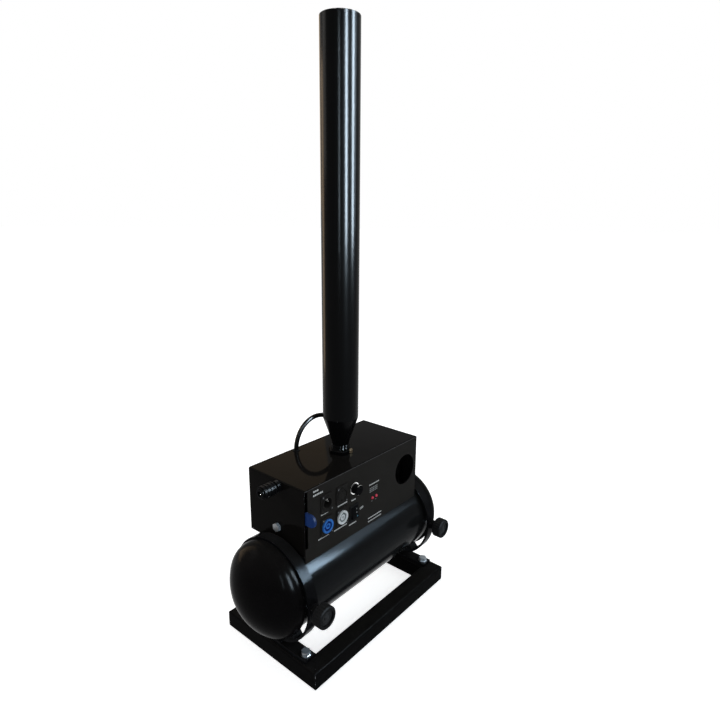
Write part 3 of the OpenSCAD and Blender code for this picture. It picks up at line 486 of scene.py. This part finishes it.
# %% Red lamp
lens = bpy.data.materials.new("red_lamp")
tree = open_tree(lens)
red = place_group(tree, mottle, Color=(0.46, 0.030, 0.055, 1), Scale=300.0,
                  Amount=0.3)["Color"]
lens_gloss = place_group(tree, smudge, Roughness=0.40, Scale=60.0, Amount=0.06)["Roughness"]
lens_grain = place_group(tree, grain, Scale=2600.0, Depth=1.0)["Height"]
bump = put(tree, "Bump", Distance=0.00001, Height=lens_grain)
shader = put(tree, "BsdfPrincipled", Base_Color=red, Roughness=lens_gloss, Emission_Color=red,
             Emission_Strength=0.30, Normal=bump.outputs[0], Specular_IOR_Level=0.03)
put(tree, "OutputMaterial", Surface=shader.outputs[0])
finishes["red_lamp"] = lens
print("finishes in all:", len(finishes))

# %% [markdown]
# ## Softened copies of the CAD pieces
# Real sheet, tube and castings have no knife edges, and the small radius is what catches light.
# The CAD mesh is loose triangles, so a copy is merged, its flat faces are joined, and its outer
# corners are bevelled. The bevelled faces carry the "edge" attribute for the wear.

# %% Make a softened copy
record = frame["record"]
slot_of = {row["node"]: row["material_slot"] for row in record["subparts"]}
body_of = {name: body for body, names in record["behaviour"]["bodies"].items() for name in names}
sharp_angle = radians(38)
flat_angle = radians(0.3)
merge_distance = 1e-6


def finish_mesh(bm, name, body, slot, stands_for=(), finish=None):
    """Turns a bmesh into a piece that rides on a body, with smooth faces and sharp corners."""
    for face in bm.faces:
        face.smooth = True
    for edge in bm.edges:
        edge.smooth = len(edge.link_faces) == 2 and edge.calc_face_angle(0) < sharp_angle
    mesh = bpy.data.meshes.new(name)
    bm.to_mesh(mesh)
    bm.free()
    mesh.materials.append(finishes[finish or slot])
    piece = bpy.data.objects.new(name, mesh)
    scene.collection.objects.link(piece)
    even = piece.modifiers.new("even_normals", "WEIGHTED_NORMAL")
    even.keep_sharp = True
    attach(piece, body)
    if stands_for:
        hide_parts(*stands_for)
    return piece


def merged_copy(node):
    """A bmesh of a CAD node with its triangles joined into whole faces."""
    bm = bmesh.new()
    bm.from_mesh(frame["nodes"][node].data)
    bmesh.ops.remove_doubles(bm, verts=bm.verts, dist=merge_distance)
    bmesh.ops.dissolve_limit(bm, angle_limit=flat_angle, verts=bm.verts, edges=bm.edges)
    return bm


def bevel_corners(bm, width, steps=2, angle=35):
    """Rounds the outer corners and marks the new faces as edge."""
    layer = bm.faces.layers.float.get("edge") or bm.faces.layers.float.new("edge")
    corners = [edge for edge in bm.edges if len(edge.link_faces) == 2 and edge.is_convex
               and edge.calc_face_angle(0) > radians(angle)]
    made = bmesh.ops.bevel(bm, geom=corners, offset=width, offset_type="OFFSET",
                           affect="EDGES", segments=steps, profile=0.5, material=-1,
                           clamp_overlap=True)
    for face in made["faces"]:
        face[layer] = 1.0
    return len(corners)


def softened(node, width, angle=35, finish=None):
    """Puts a softened copy in the place of a CAD node."""
    bm = merged_copy(node)
    count = bevel_corners(bm, width * MM, angle=angle)
    piece = finish_mesh(bm, node + "_soft", body_of[node], slot_of[node], [node], finish)
    print(node, "corners", count, "faces", len(piece.data.polygons))


# %% Soften the nodes
edge_width = {
    "front_rail": 0.4, "rear_rail": 0.4, "left_rail": 0.4, "right_rail": 0.4,
    "left_hoop": 0.8, "right_hoop": 0.8, "saddle_pads": 0.5, "foot_bolts": 0.4,
    "clamp_bosses": 0.6, "left_stud": 0.4, "right_stud": 0.4, "left_knob": 0.25,
    "right_knob": 0.25, "tank_shell": 0.3, "left_head": 0.8, "right_head": 0.8,
    "drain_plug": 0.5, "riser_nipple": 0.3, "valve_body": 1.0, "valve_coil": 0.8,
    "pilot_block": 0.6, "stem_nipple": 0.4, "lock_nuts": 1.3, "barrel_cone": 0.3,
    "barrel_tube": 0.4, "cover": 0.5, "front_panel": 0.3, "rear_panel": 0.3,
    "rear_screws": 0.3, "saddle_brackets": 0.4, "side_bolts": 0.5, "dmx_inlet": 0.3,
    "dmx_pins": 0.2, "dmx_outlet": 0.3, "power_inlet": 0.4, "power_outlet": 0.4,
    "power_plates": 0.3, "connector_screws": 0.25, "switch_body": 0.4, "rocker": 0.5,
    "fuse_body": 0.3, "fuse_ring": 0.5, "fuse_cap": 0.6, "coupling_body": 0.4,
    "coupling_sleeve": 0.25, "ball_valve": 0.5, "feed_pipe": 0.3, "valve_lever": 0.3,
    "lever_grip": 2.0, "valve_spindle": 0.3, "hose_fittings": 0.3, "hose_manifold": 0.8,
    "control_board": 0.2, "board_posts": 0.3, "power_supply": 0.6, "pressure_switch": 0.6,
}
# The nut's finish is a black coat of painted shade with a painted highlight of brass at one
# corner, and the pins' pale coat is a painted glint.
other_finish = {
    "left_hoop": "strap_paint", "right_hoop": "strap_paint", "clamp_bosses": "strap_paint",
    "left_head": "head_paint", "right_head": "head_paint", "barrel_tube": "barrel_paint",
    "barrel_cone": "barrel_paint", "lock_nuts": "brass_under_painted_shade", "front_panel": "panel_coat",
    "connector_screws": "dull_screw", "front_rail": "rail_paint", "rear_rail": "rail_paint",
    "left_rail": "rail_paint", "right_rail": "rail_paint", "cover": "cover_coat",
    "power_plates": "panel_coat", "dmx_inlet": "connector_body", "dmx_outlet": "connector_body",
    "dmx_pins": "pale_painted_glint",
}
rounded_nodes = ("indicator_lamps", "locking_balls", "inlet_pipe")
rounded_width = 0.1
rounded_angle = 60
for node, width in edge_width.items():
    softened(node, width, finish=other_finish.get(node))
for node in rounded_nodes:
    softened(node, rounded_width, angle=rounded_angle)

# %% [markdown]
# ## Round trim
# A weld bead, a collar and a moulded face are all one small outline swept round an axis. The
# spin operator makes them, so each is a few points and a turn. The outlines are given as pairs
# of radius and height in millimetres, which a turner would read off a drawing.

# %% Sweep a small outline
def profile_loop(bm, points, radial, axis, centre, closed=True):
    """Draws an outline of (radius, height) points, in millimetres, beside an axis."""
    verts = [bm.verts.new(Vector(centre) + (radial * out + axis * along) * MM)
             for out, along in points]
    last = len(verts) if closed else len(verts) - 1
    edges = [bm.edges.new((verts[k], verts[(k + 1) % len(verts)])) for k in range(last)]
    return verts + edges


def swept(bm, points, centre, axis, steps=72, closed=True):
    """Sweeps an outline once round an axis through a centre, given in metres."""
    axis = Vector(axis).normalized()
    radial = axis.orthogonal().normalized()
    loop = profile_loop(bm, points, radial, axis, centre, closed)
    bmesh.ops.spin(bm, geom=loop, cent=centre, axis=axis, angle=2 * pi, steps=steps,
                   use_merge=True)
    bmesh.ops.remove_doubles(bm, verts=bm.verts, dist=merge_distance)
    bmesh.ops.recalc_face_normals(bm, faces=bm.faces)


def close_ends(bm):
    """Caps the open ends of a sweep that stops short of a full turn."""
    bmesh.ops.holes_fill(bm, edges=bm.edges, sides=0)
    bmesh.ops.recalc_face_normals(bm, faces=bm.faces)


def round_outline(radius, height, thickness, points=8):
    """Points of a small circle at a distance from the axis."""
    turns = [2 * pi * k / points for k in range(points)]
    return [(radius + thickness * cos(turn), height + thickness * sin(turn)) for turn in turns]


def node_box(node):
    """A node's lowest and highest corner as vectors."""
    return [Vector(corner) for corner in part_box(node)]


def node_middle(node):
    """The centre of a node's box."""
    low, high = node_box(node)
    return (low + high) / 2


# %% [markdown]
# ### Weld beads
# The heads are welded to the tank and the bosses to the strap rings. A welder's torch leaves
# small even waves, so each bead is a ring whose surface goes in and out along its way round.

# %% Weld beads
head_seam = 165.6
head_bead = 1.0
head_bead_lift = 0.3
boss_aside = 156
boss_root = -81.2
boss_bead_radius = 8.7
boss_bead = 1.1


def ripple(bm, centre, axis, depth, waves):
    """Pushes the surface of a bead in and out along its way round, as a weld pool sets."""
    axis = Vector(axis).normalized()
    side = axis.orthogonal().normalized()
    other = axis.cross(side)
    for vert in bm.verts:
        arm = vert.co - Vector(centre)
        turn = Vector((arm.dot(side), arm.dot(other))).angle_signed(Vector((1, 0)), 0)
        vert.co += vert.normal * depth * MM * sin(waves * turn)


def weld_bead(name, outline, centre, axis, body, slot, steps, depth, waves, finish=None):
    """Sweeps a bead round an axis, ripples it and makes it a piece."""
    bm = bmesh.new()
    swept(bm, outline, centre, axis, steps=steps)
    bm.normal_update()
    ripple(bm, centre, axis, depth, waves)
    weld = finish_mesh(bm, name, body, slot, finish=finish)
    print(name, "faces", len(weld.data.polygons))


tank_low, tank_high = node_box("tank_shell")
tank_middle = node_middle("tank_shell")
tank_radius = (tank_high.z - tank_low.z) / 2 / MM
head_outline = round_outline(tank_radius + head_bead_lift, 0, head_bead)
for side, name in ((-1, "left_head_weld"), (1, "right_head_weld")):
    centre = Vector((side * head_seam * MM, tank_middle.y, tank_middle.z))
    weld_bead(name, head_outline, centre, (1, 0, 0), "carriage", "gloss_black_paint", steps=240,
              depth=0.12, waves=96)
boss_outline = round_outline(boss_bead_radius, 0, boss_bead)
for side, name in ((-1, "left_boss_weld"), (1, "right_boss_weld")):
    centre = Vector((side * boss_aside * MM, boss_root * MM, node_middle("clamp_bosses").z))
    weld_bead(name, boss_outline, centre, (0, 1, 0), "base", "black_powder_coat", steps=120,
              depth=0.15, waves=24, finish="strap_paint")
print("tank radius:", round(tank_radius, 2), "mm")

# %% [markdown]
# ### Foot of the barrel
# The barrel is screwed on a threaded nipple. A thread is the same sweep as a ring, with a step
# along the axis at each stage. Above it two turned collars with rounded shoulders pick up the
# small bright glints that the photograph shows there.

# %% Thread
stem_middle = node_middle("stem_nipple")
thread_foot = 301.2
thread_root = 12.9
thread_crest = 14.1
thread_pitch = 1.8
thread_turns = 3
steps_a_turn = 48
stem_axis = Vector((stem_middle.x, stem_middle.y, thread_foot * MM))
thread_outline = [(thread_root, 0), (thread_crest, thread_pitch / 2), (thread_root, thread_pitch)]
bm = bmesh.new()
ridge = profile_loop(bm, thread_outline, Vector((1, 0, 0)), Vector((0, 0, 1)), stem_axis,
                     closed=False)
rise = Vector((0, 0, thread_pitch * MM / steps_a_turn))
bmesh.ops.spin(bm, geom=ridge, cent=stem_axis, axis=(0, 0, 1), dvec=rise,
               angle=2 * pi * thread_turns, steps=steps_a_turn * thread_turns, use_merge=False)
close_ends(bm)
thread = finish_mesh(bm, "stem_thread", "carriage", "black_steel")
print("thread faces:", len(thread.data.polygons))

# %% Collars
collar_feet = (302.7, 307.3)
collar_outline = [(13.4, 0), (15.2, 0), (15.7, 0.4), (15.3, 1.9), (14.6, 3.6), (14.2, 4.0),
                  (13.4, 4.0)]
bm = bmesh.new()
for foot in collar_feet:
    collar = [(out, foot + along) for out, along in collar_outline]
    swept(bm, collar, (stem_middle.x, stem_middle.y, 0), (0, 0, 1), steps=96)
collars = finish_mesh(bm, "socket_lips", "carriage", "gloss_black_paint", finish="collar_paint")
print("collar faces:", len(collars.data.polygons))

# %% [markdown]
# ### Fuse cap, sockets and knobs
# The fuse cap carries two bright arcs, painted highlights on the top and the bottom of its rim,
# each a part turn of a small outline that starts at its own angle. The power sockets have a
# groove whose floor lies in shadow, and the clamp knobs a moulded face with steps. These turn
# once round an axis that points out of the panel.

# %% Painted highlight arcs of the fuse cap
cap_front = node_box("fuse_cap")[0].y
cap_middle = node_middle("fuse_cap")
arc_inset = 0.3
arc_centre = Vector((cap_middle.x, cap_front + arc_inset * MM, cap_middle.z))
arc_outline = [(6.5, 0.3), (6.7, -0.15), (7.9, -0.15), (8.25, 0.25), (8.3, 0.9), (6.5, 0.9)]
arc_starts = (48, 242)
arc_length = 72
arc_steps = 24
bm = bmesh.new()
for start in arc_starts:
    turn = radians(start)
    loop = profile_loop(bm, arc_outline, Vector((cos(turn), 0, sin(turn))), Vector((0, 1, 0)),
                        arc_centre)
    bmesh.ops.spin(bm, geom=loop, cent=arc_centre, axis=(0, -1, 0), angle=radians(arc_length),
                   steps=arc_steps, use_merge=False)
close_ends(bm)
# The two arcs are painted highlights, made pale by their coat.
finish_mesh(bm, "fuse_cap_painted_highlights", "fuse_cap", "nickel", finish="pale_painted_glint")
print("arcs start at", arc_starts, "degrees and are", arc_length, "degrees long")

# %% Floors of the power sockets' grooves
groove_floor = [(4.9, 1.3), (7.7, 1.3), (7.7, 2.3), (4.9, 2.3)]
for node, finish in (("power_inlet", "groove_blue"), ("power_outlet", "groove_grey")):
    middle = node_middle(node)
    bm = bmesh.new()
    swept(bm, groove_floor, (middle.x, node_box(node)[0].y, middle.z), (0, 1, 0), steps=64)
    groove = finish_mesh(bm, node + "_groove", "carriage", slot_of[node], finish=finish)
    print(groove.name, "faces", len(groove.data.polygons))

# %% Moulded faces of the clamp knobs
dish_back = 3.8
knob_outline = [(0, 2.0), (3.6, 2.0), (4.3, 2.5), (4.5, 3.2), (7.2, 3.2), (7.6, 2.3), (8.8, 2.3),
                (9.2, 3.2), (11.7, 3.1), (11.7, dish_back), (0, dish_back)]
for side in ("left", "right"):
    middle = node_middle(side + "_knob")
    front = node_box(side + "_knob")[0].y
    bm = bmesh.new()
    swept(bm, knob_outline, (middle.x, front, middle.z), (0, 1, 0), closed=False)
    face = finish_mesh(bm, side + "_knob_face", side + "_clamp", "black_plastic",
                       finish="knob_face")
    print(face.name, "faces", len(face.data.polygons))

# %% [markdown]
# ## Print on the panel
# Screen print is a film of ink with almost no thickness. Labels are rows of short plain strokes,
# with the word OFF beside the rocker. Each stroke is one small rounded plate, and all of those
# in one ink are one piece. Strokes that vary in width look like print from a little way off.

# %% Strokes and words
panel_low, panel_high = node_box("front_panel")
panel_front = panel_low.y
ink = 0.06 * MM
corner_share = 0.3


def stroke(bm, x, z, width, height, y=panel_front, place=None):
    """Adds one flat stroke of ink with rounded corners, its middle at x and z."""
    made = bmesh.ops.create_cube(bm, size=1)["verts"]
    bmesh.ops.scale(bm, verts=made, vec=(width * MM, ink, height * MM))
    upright = [edge for edge in {edge for vert in made for edge in vert.link_edges}
               if abs(edge.verts[0].co.y - edge.verts[1].co.y) > ink / 2]
    rounded = bmesh.ops.bevel(bm, geom=upright, offset=corner_share * min(width, height) * MM,
                              offset_type="OFFSET", affect="EDGES", segments=2, profile=0.5,
                              material=-1)
    verts = {vert for face in rounded["faces"] for vert in face.verts}
    if place:
        bmesh.ops.transform(bm, verts=list(verts), matrix=place)
    bmesh.ops.translate(bm, verts=list(verts), vec=(x * MM, y - ink / 2, z * MM))


def stroke_row(bm, start, end, z, height, widths, gap):
    """Fills a label's length with strokes of a few widths."""
    x = start
    index = 0
    while x + widths[index % len(widths)] <= end:
        width = widths[index % len(widths)]
        stroke(bm, x + width / 2, z, width, height)
        x += width + gap
        index += 1


def word(bm, text, x, z, size, weight):
    """Adds a plain word that reads from the front, its middle at x and z."""
    curve = bpy.data.curves.new("word", "FONT")
    curve.body = text
    curve.size = size * MM
    curve.align_x = "CENTER"
    curve.align_y = "CENTER"
    curve.extrude = ink / 2
    curve.offset = weight * MM
    source = bpy.data.objects.new("word", curve)
    scene.collection.objects.link(source)
    shown = source.evaluated_get(bpy.context.evaluated_depsgraph_get())
    mesh = bpy.data.meshes.new_from_object(shown)
    bpy.data.objects.remove(source)
    place = Matrix.Translation((x * MM, panel_front - ink / 2, z * MM))
    mesh.transform(place @ Matrix.Rotation(pi / 2, 4, "X"))
    bm.from_mesh(mesh)
    bpy.data.meshes.remove(mesh)


print("the panel's front is at y =", round(panel_front / MM, 2), "mm")

# %% White labels
heading_rows = [(-124, -110.5, 288, (3.6, 2.8, 3.4)), (-124, -100.5, 281.5, (2.9, 3.3, 2.5))]
label_rows = [(-108, -91, 243), (-70.5, -47.5, 242), (-38, -27, 238.7), (-114.5, -89, 204),
              (-79, -49, 203), (-44, -25, 197), (7, 33.5, 248.5), (5, 42, 187.5), (5, 42, 181.5)]
label_widths = (2.1, 1.3, 1.7, 1.0)
heading_height = 3.0
heading_gap = 0.6
label_height = 2.1
label_gap = 0.45
switch_height = 216
off_aside = -12.8
off_size = 5.32
off_weight = 0.12
bm = bmesh.new()
for start, end, z, widths in heading_rows:
    stroke_row(bm, start, end, z, heading_height, widths, heading_gap)
for start, end, z in label_rows:
    stroke_row(bm, start, end, z, label_height, label_widths, label_gap)
word(bm, "OFF", off_aside, switch_height, off_size, off_weight)
labels = finish_mesh(bm, "panel_print", "carriage", "white_plastic", finish="print_white")
print("faces of the white labels:", len(labels.data.polygons))

# %% Grey block and lamp marks
block_left = 10
block_foot = 235.6
block_rows = 3
block_columns = 5
column_pitch = 4.3
row_pitch = 3.1
block_stroke = (3.2, 1.9)
lamp_mark_places = (14.5, 25)
lamp_mark_height = 217
lamp_mark = (1.8, 1.6)
bm = bmesh.new()
for row in range(block_rows):
    for column in range(block_columns):
        x = block_left + column_pitch * column
        stroke(bm, x, block_foot + row_pitch * row, *block_stroke)
for x in lamp_mark_places:
    stroke(bm, x, lamp_mark_height, *lamp_mark)
grey_print = finish_mesh(bm, "panel_print_grey", "carriage", "white_plastic",
                         finish="print_grey")
print("faces of the grey print:", len(grey_print.data.polygons))

# %% [markdown]
# ### Small marks off the flat panel
# The folded top edge of the panel carries a paler line as a painted highlight, each screw carries
# a small grey plate as a painted glint, and the rocker carries its own marks. All are the same
# small plates. The rocker's face is two planes that lean away from its pivot, so its marks are
# tipped to lie on them.

# %% Painted highlight along the top edge of the panel
highlight_below_top = 0.5
highlight_length = 285
highlight_height = 0.9
# One long pale strip along the top edge is the painted highlight.
bm = bmesh.new()
stroke(bm, 0, panel_high.z / MM - highlight_below_top, highlight_length, highlight_height)
finish_mesh(bm, "panel_edge_highlight", "carriage", "black_powder_coat", finish="edge_highlight_paint")
print("rubbed edge:", highlight_length, "mm long")

# %% Painted glints on the connector screws
socket_columns = (-96, -62)
socket_rows = (260, 221)
screw_aside = 9.5
screw_rise = 12
glint_size = 2.3
glint_inset = 0.35
glint_front = node_box("connector_screws")[0].y + glint_inset * MM
# A small grey plate at the middle of each screw head: a painted glint.
bm = bmesh.new()
for x in socket_columns:
    for z in socket_rows:
        for side in (-1, 1):
            stroke(bm, x + screw_aside * side, z - screw_rise * side, glint_size, glint_size,
                   glint_front)
screw_glint_plates = finish_mesh(bm, "screw_painted_glints", "carriage", "zinc", finish="print_grey")
print("faces of the recesses:", len(screw_glint_plates.data.polygons))

# %% Marks on the rocker
pivot_inset = 3
pivot = Vector((node_middle("rocker").x, panel_front + pivot_inset * MM, switch_height * MM))
rest_tilt = radians(-8)
face_slope = radians(10.4)
face_depth = 5.6
face_fall = 1.8
face_half = 9.8
mark_aside = 4.5
mark_rise = 0.03
rocker_marks = [("rocker_marks", "print_grey", [(5.2, 1.6, 2.5), (-1.2, 2.1, 1.9)]),
                ("rocker_blue_mark", "print_blue", [(-7.2, 2.5, 1.9)])]
for name, finish, marks in rocker_marks:
    bm = bmesh.new()
    for height, wide, tall in marks:
        lean = face_slope if height > 0 else -face_slope
        surface = -face_depth - abs(height) * face_fall / face_half
        place = Matrix.Rotation(lean, 4, "X")
        stroke(bm, mark_aside, height, wide, tall, (surface + mark_rise) * MM, place)
    bmesh.ops.rotate(bm, verts=bm.verts, cent=(0, 0, 0),
                     matrix=Matrix.Rotation(rest_tilt, 3, "X"))
    bmesh.ops.translate(bm, verts=bm.verts, vec=pivot)
    finish_mesh(bm, name, "rocker", "white_plastic", finish=finish)
    print(name, "made")

# %% [markdown]
# ## Parts on the control board
# Through the round port and with the covers off, a control board shows small parts. Cans are a
# stepped outline swept round an axis, and terminal blocks are bevelled bodies in a row.

# %% Cans
board_low, board_high = node_box("control_board")
board_back = board_high.y
can_outline = [(0, 0), (4.0, 0), (4.0, 1.0), (3.7, 1.4), (4.0, 1.8), (4.0, 10), (3.6, 10.6),
               (0, 10.6)]
can_count = 4
first_can = 18
can_pitch = 13
can_below_top = 12
bm = bmesh.new()
for column in range(can_count):
    centre = (board_low.x + (first_can + can_pitch * column) * MM, board_back,
              board_high.z - can_below_top * MM)
    swept(bm, can_outline, centre, (0, 1, 0), steps=20, closed=False)
finish_mesh(bm, "board_cans", "carriage", "gloss_black_plastic")
print("cans:", can_count)

# %% Terminal blocks
block_count = 6
first_block = 20
block_pitch = 18
block_size = Vector((9, 7, 6)) * MM
block_above_foot = 12 * MM
block_edge = 0.5 * MM
bm = bmesh.new()
for column in range(block_count):
    made = bmesh.ops.create_cube(bm, size=1)["verts"]
    bmesh.ops.scale(bm, verts=made, vec=block_size)
    spot = Vector((board_low.x + (first_block + block_pitch * column) * MM,
                   board_back + block_size.y / 2, board_low.z + block_above_foot))
    bmesh.ops.translate(bm, verts=made, vec=spot)
bevel_corners(bm, block_edge)
finish_mesh(bm, "board_blocks", "carriage", "blue_plastic")
print("terminal blocks:", block_count)

# %% [markdown]
# ### The remaining finishes
# The hose was made before its finish was, so it gets it now. The CAD nodes that stay, or stand
# behind a softened copy, get the finish of their own slot.

# %% Finishes of the hose and the CAD nodes
air_hose.data.materials.append(finishes["hose_black"])
for node, piece in frame["nodes"].items():
    piece.data.materials.clear()
    piece.data.materials.append(finishes[slot_of[node]])
print("CAD nodes with a finish:", len(frame["nodes"]))

# %% [markdown]
# ## Floor and world
# The photograph shows the object on pure white. The floor is pale and keeps the shadow, and both
# floor and world are white to the camera and in reflections. To all other rays the world is a
# soft fill, so the white adds no light to the object.

# %% Floor
def direct_rays(tree):
    """White for rays from the camera, off gloss and through glass, and black for the rest."""
    paths = put(tree, "LightPath").outputs
    seen = math_node(tree, "MAXIMUM", paths["Is Camera Ray"], paths["Is Glossy Ray"])
    return math_node(tree, "MAXIMUM", seen, paths["Is Transmission Ray"])


floor_reach = 60
bm = bmesh.new()
bmesh.ops.create_grid(bm, x_segments=8, y_segments=8, size=floor_reach)
floor_mesh = bpy.data.meshes.new("floor")
bm.to_mesh(floor_mesh)
bm.free()
floor = bpy.data.objects.new("floor", floor_mesh)
scene.collection.objects.link(floor)
floor_paint = bpy.data.materials.new("floor")
tree = open_tree(floor_paint)
lift = mixed_color(tree, direct_rays(tree), (0, 0, 0, 1), (0.70, 0.70, 0.70, 1))
ground = put(tree, "BsdfPrincipled", Base_Color=(0.85, 0.85, 0.85, 1), Roughness=0.9,
             Specular_IOR_Level=0.1, Emission_Color=lift, Emission_Strength=1.0)
put(tree, "OutputMaterial", Surface=ground.outputs[0])
floor_mesh.materials.append(floor_paint)
print("floor reaches", floor_reach, "metres each way")

# %% World
world = bpy.data.worlds.new("studio")
tree = open_tree(world)
fill = put(tree, "Background", Color=(0.96, 0.98, 1.0, 1), Strength=0.42)
white = put(tree, "Background", Color=(1, 1, 1, 1), Strength=1.0)
both = put(tree, "MixShader", input0=direct_rays(tree), input1=fill.outputs[0],
           input2=white.outputs[0])
put(tree, "OutputWorld", Surface=both.outputs[0])
scene.world = world
print("world:", world.name)

# %% [markdown]
# ## Lamps
# Black paint is modelled by what it mirrors. Tall cool strips give the barrel its streaks and
# the tank its long highlight, and they light by reflection only. A high lamp at the back right
# throws the hose's shadow, two soft ones fill the front and the back, warm ones tint the left
# edge of the barrel and the top plate, and a small one over the floor stands for its glow.

# %% Area lamps
housing_middle = (0, 0, 0.25)
strip_aim = (0, 0.0085, 0.72)
floor_spot = (0.03, -0.2, 0)
COOL = (0.70, 0.86, 1.0)
PALE_BLUE = (0.90, 0.96, 1.0)
CREAM = (1.0, 0.97, 0.93)
AMBER = (1.0, 0.72, 0.45)
DEEP_AMBER = (1.0, 0.55, 0.08)


def area_lamp(name, target, azimuth_deg, elevation_deg, distance, width, height, radiance,
              color=(1, 1, 1), diffuse=True):
    """A soft rectangle that faces the target from a direction; radiance sets its brightness."""
    data = bpy.data.lights.new(name, "AREA")
    data.shape = "RECTANGLE"
    data.size = width
    data.size_y = height
    data.energy = radiance * pi * width * height
    data.color = color
    lamp = bpy.data.objects.new(name, data)
    turn = radians(azimuth_deg)
    rise = radians(elevation_deg)
    out = Vector((cos(turn) * cos(rise), sin(turn) * cos(rise), sin(rise)))
    lamp.location = Vector(target) + out * distance
    lamp.rotation_euler = out.to_track_quat("Z", "Y").to_euler()
    lamp.visible_camera = False
    lamp.visible_diffuse = diffuse
    scene.collection.objects.link(lamp)


area_lamp("back_right", housing_middle, 45, 42, 2.2, 0.4, 0.4, 14, CREAM)
area_lamp("front_right", housing_middle, -50, 30, 2.0, 0.6, 0.6, 5, PALE_BLUE)
area_lamp("strip_right", strip_aim, -61, 12, 1.5, 0.36, 0.9, 380, COOL, False)
area_lamp("strip_left", strip_aim, -103, 12, 1.5, 0.30, 0.9, 560, COOL, False)
area_lamp("strip_far_right", strip_aim, -45, 13, 1.6, 0.30, 0.9, 22, COOL, False)
area_lamp("strip_front", strip_aim, -143, 10, 1.7, 0.08, 0.9, 150, COOL, False)
area_lamp("warm_back_left", housing_middle, 104, 12, 1.6, 0.5, 1.4, 9, AMBER, False)
area_lamp("warm_plate", housing_middle, 62, 27, 2.0, 1.1, 0.9, 1.0, DEEP_AMBER, False)
area_lamp("floor_glow", floor_spot, -90, 90, 0.004, 0.16, 0.05, 18, COOL, False)
area_lamp("back_left", housing_middle, 125, 28, 2.2, 0.8, 0.8, 5, CREAM)
print("lamps:", len(bpy.data.lights))

# %% [markdown]
# ### Keeping lamps off some pieces
# The strips are far brighter than the world, because the paint reflects so little. Flat plates
# would throw them back as a white sheet when seen from behind, and bare metal as a white blob.
# Light linking keeps the strips off those pieces and leaves them to the round painted ones.

# %% Light linking
def keep_off(lamps, pieces):
    """Stops some lamps from lighting some pieces."""
    spared = bpy.data.collections.new("kept_off_" + lamps[0])
    for name in pieces:
        spared.objects.link(bpy.data.objects[name])
    for entry in spared.collection_objects:
        entry.light_linking.link_state = "EXCLUDE"
    for name in lamps:
        bpy.data.objects[name].light_linking.receiver_collection = spared
    print(len(lamps), "lamps kept off", len(pieces), "pieces")


keep_off(["strip_right", "strip_left", "strip_far_right", "strip_front"],
         ["cover_soft", "front_panel_soft", "rear_panel_soft", "fuse_cap_painted_highlights", "fuse_ring_soft"])
keep_off(["warm_back_left"], ["socket_lips", "lock_nuts_soft", "stem_nipple_soft"])
scene.view_settings.view_transform = "Standard"
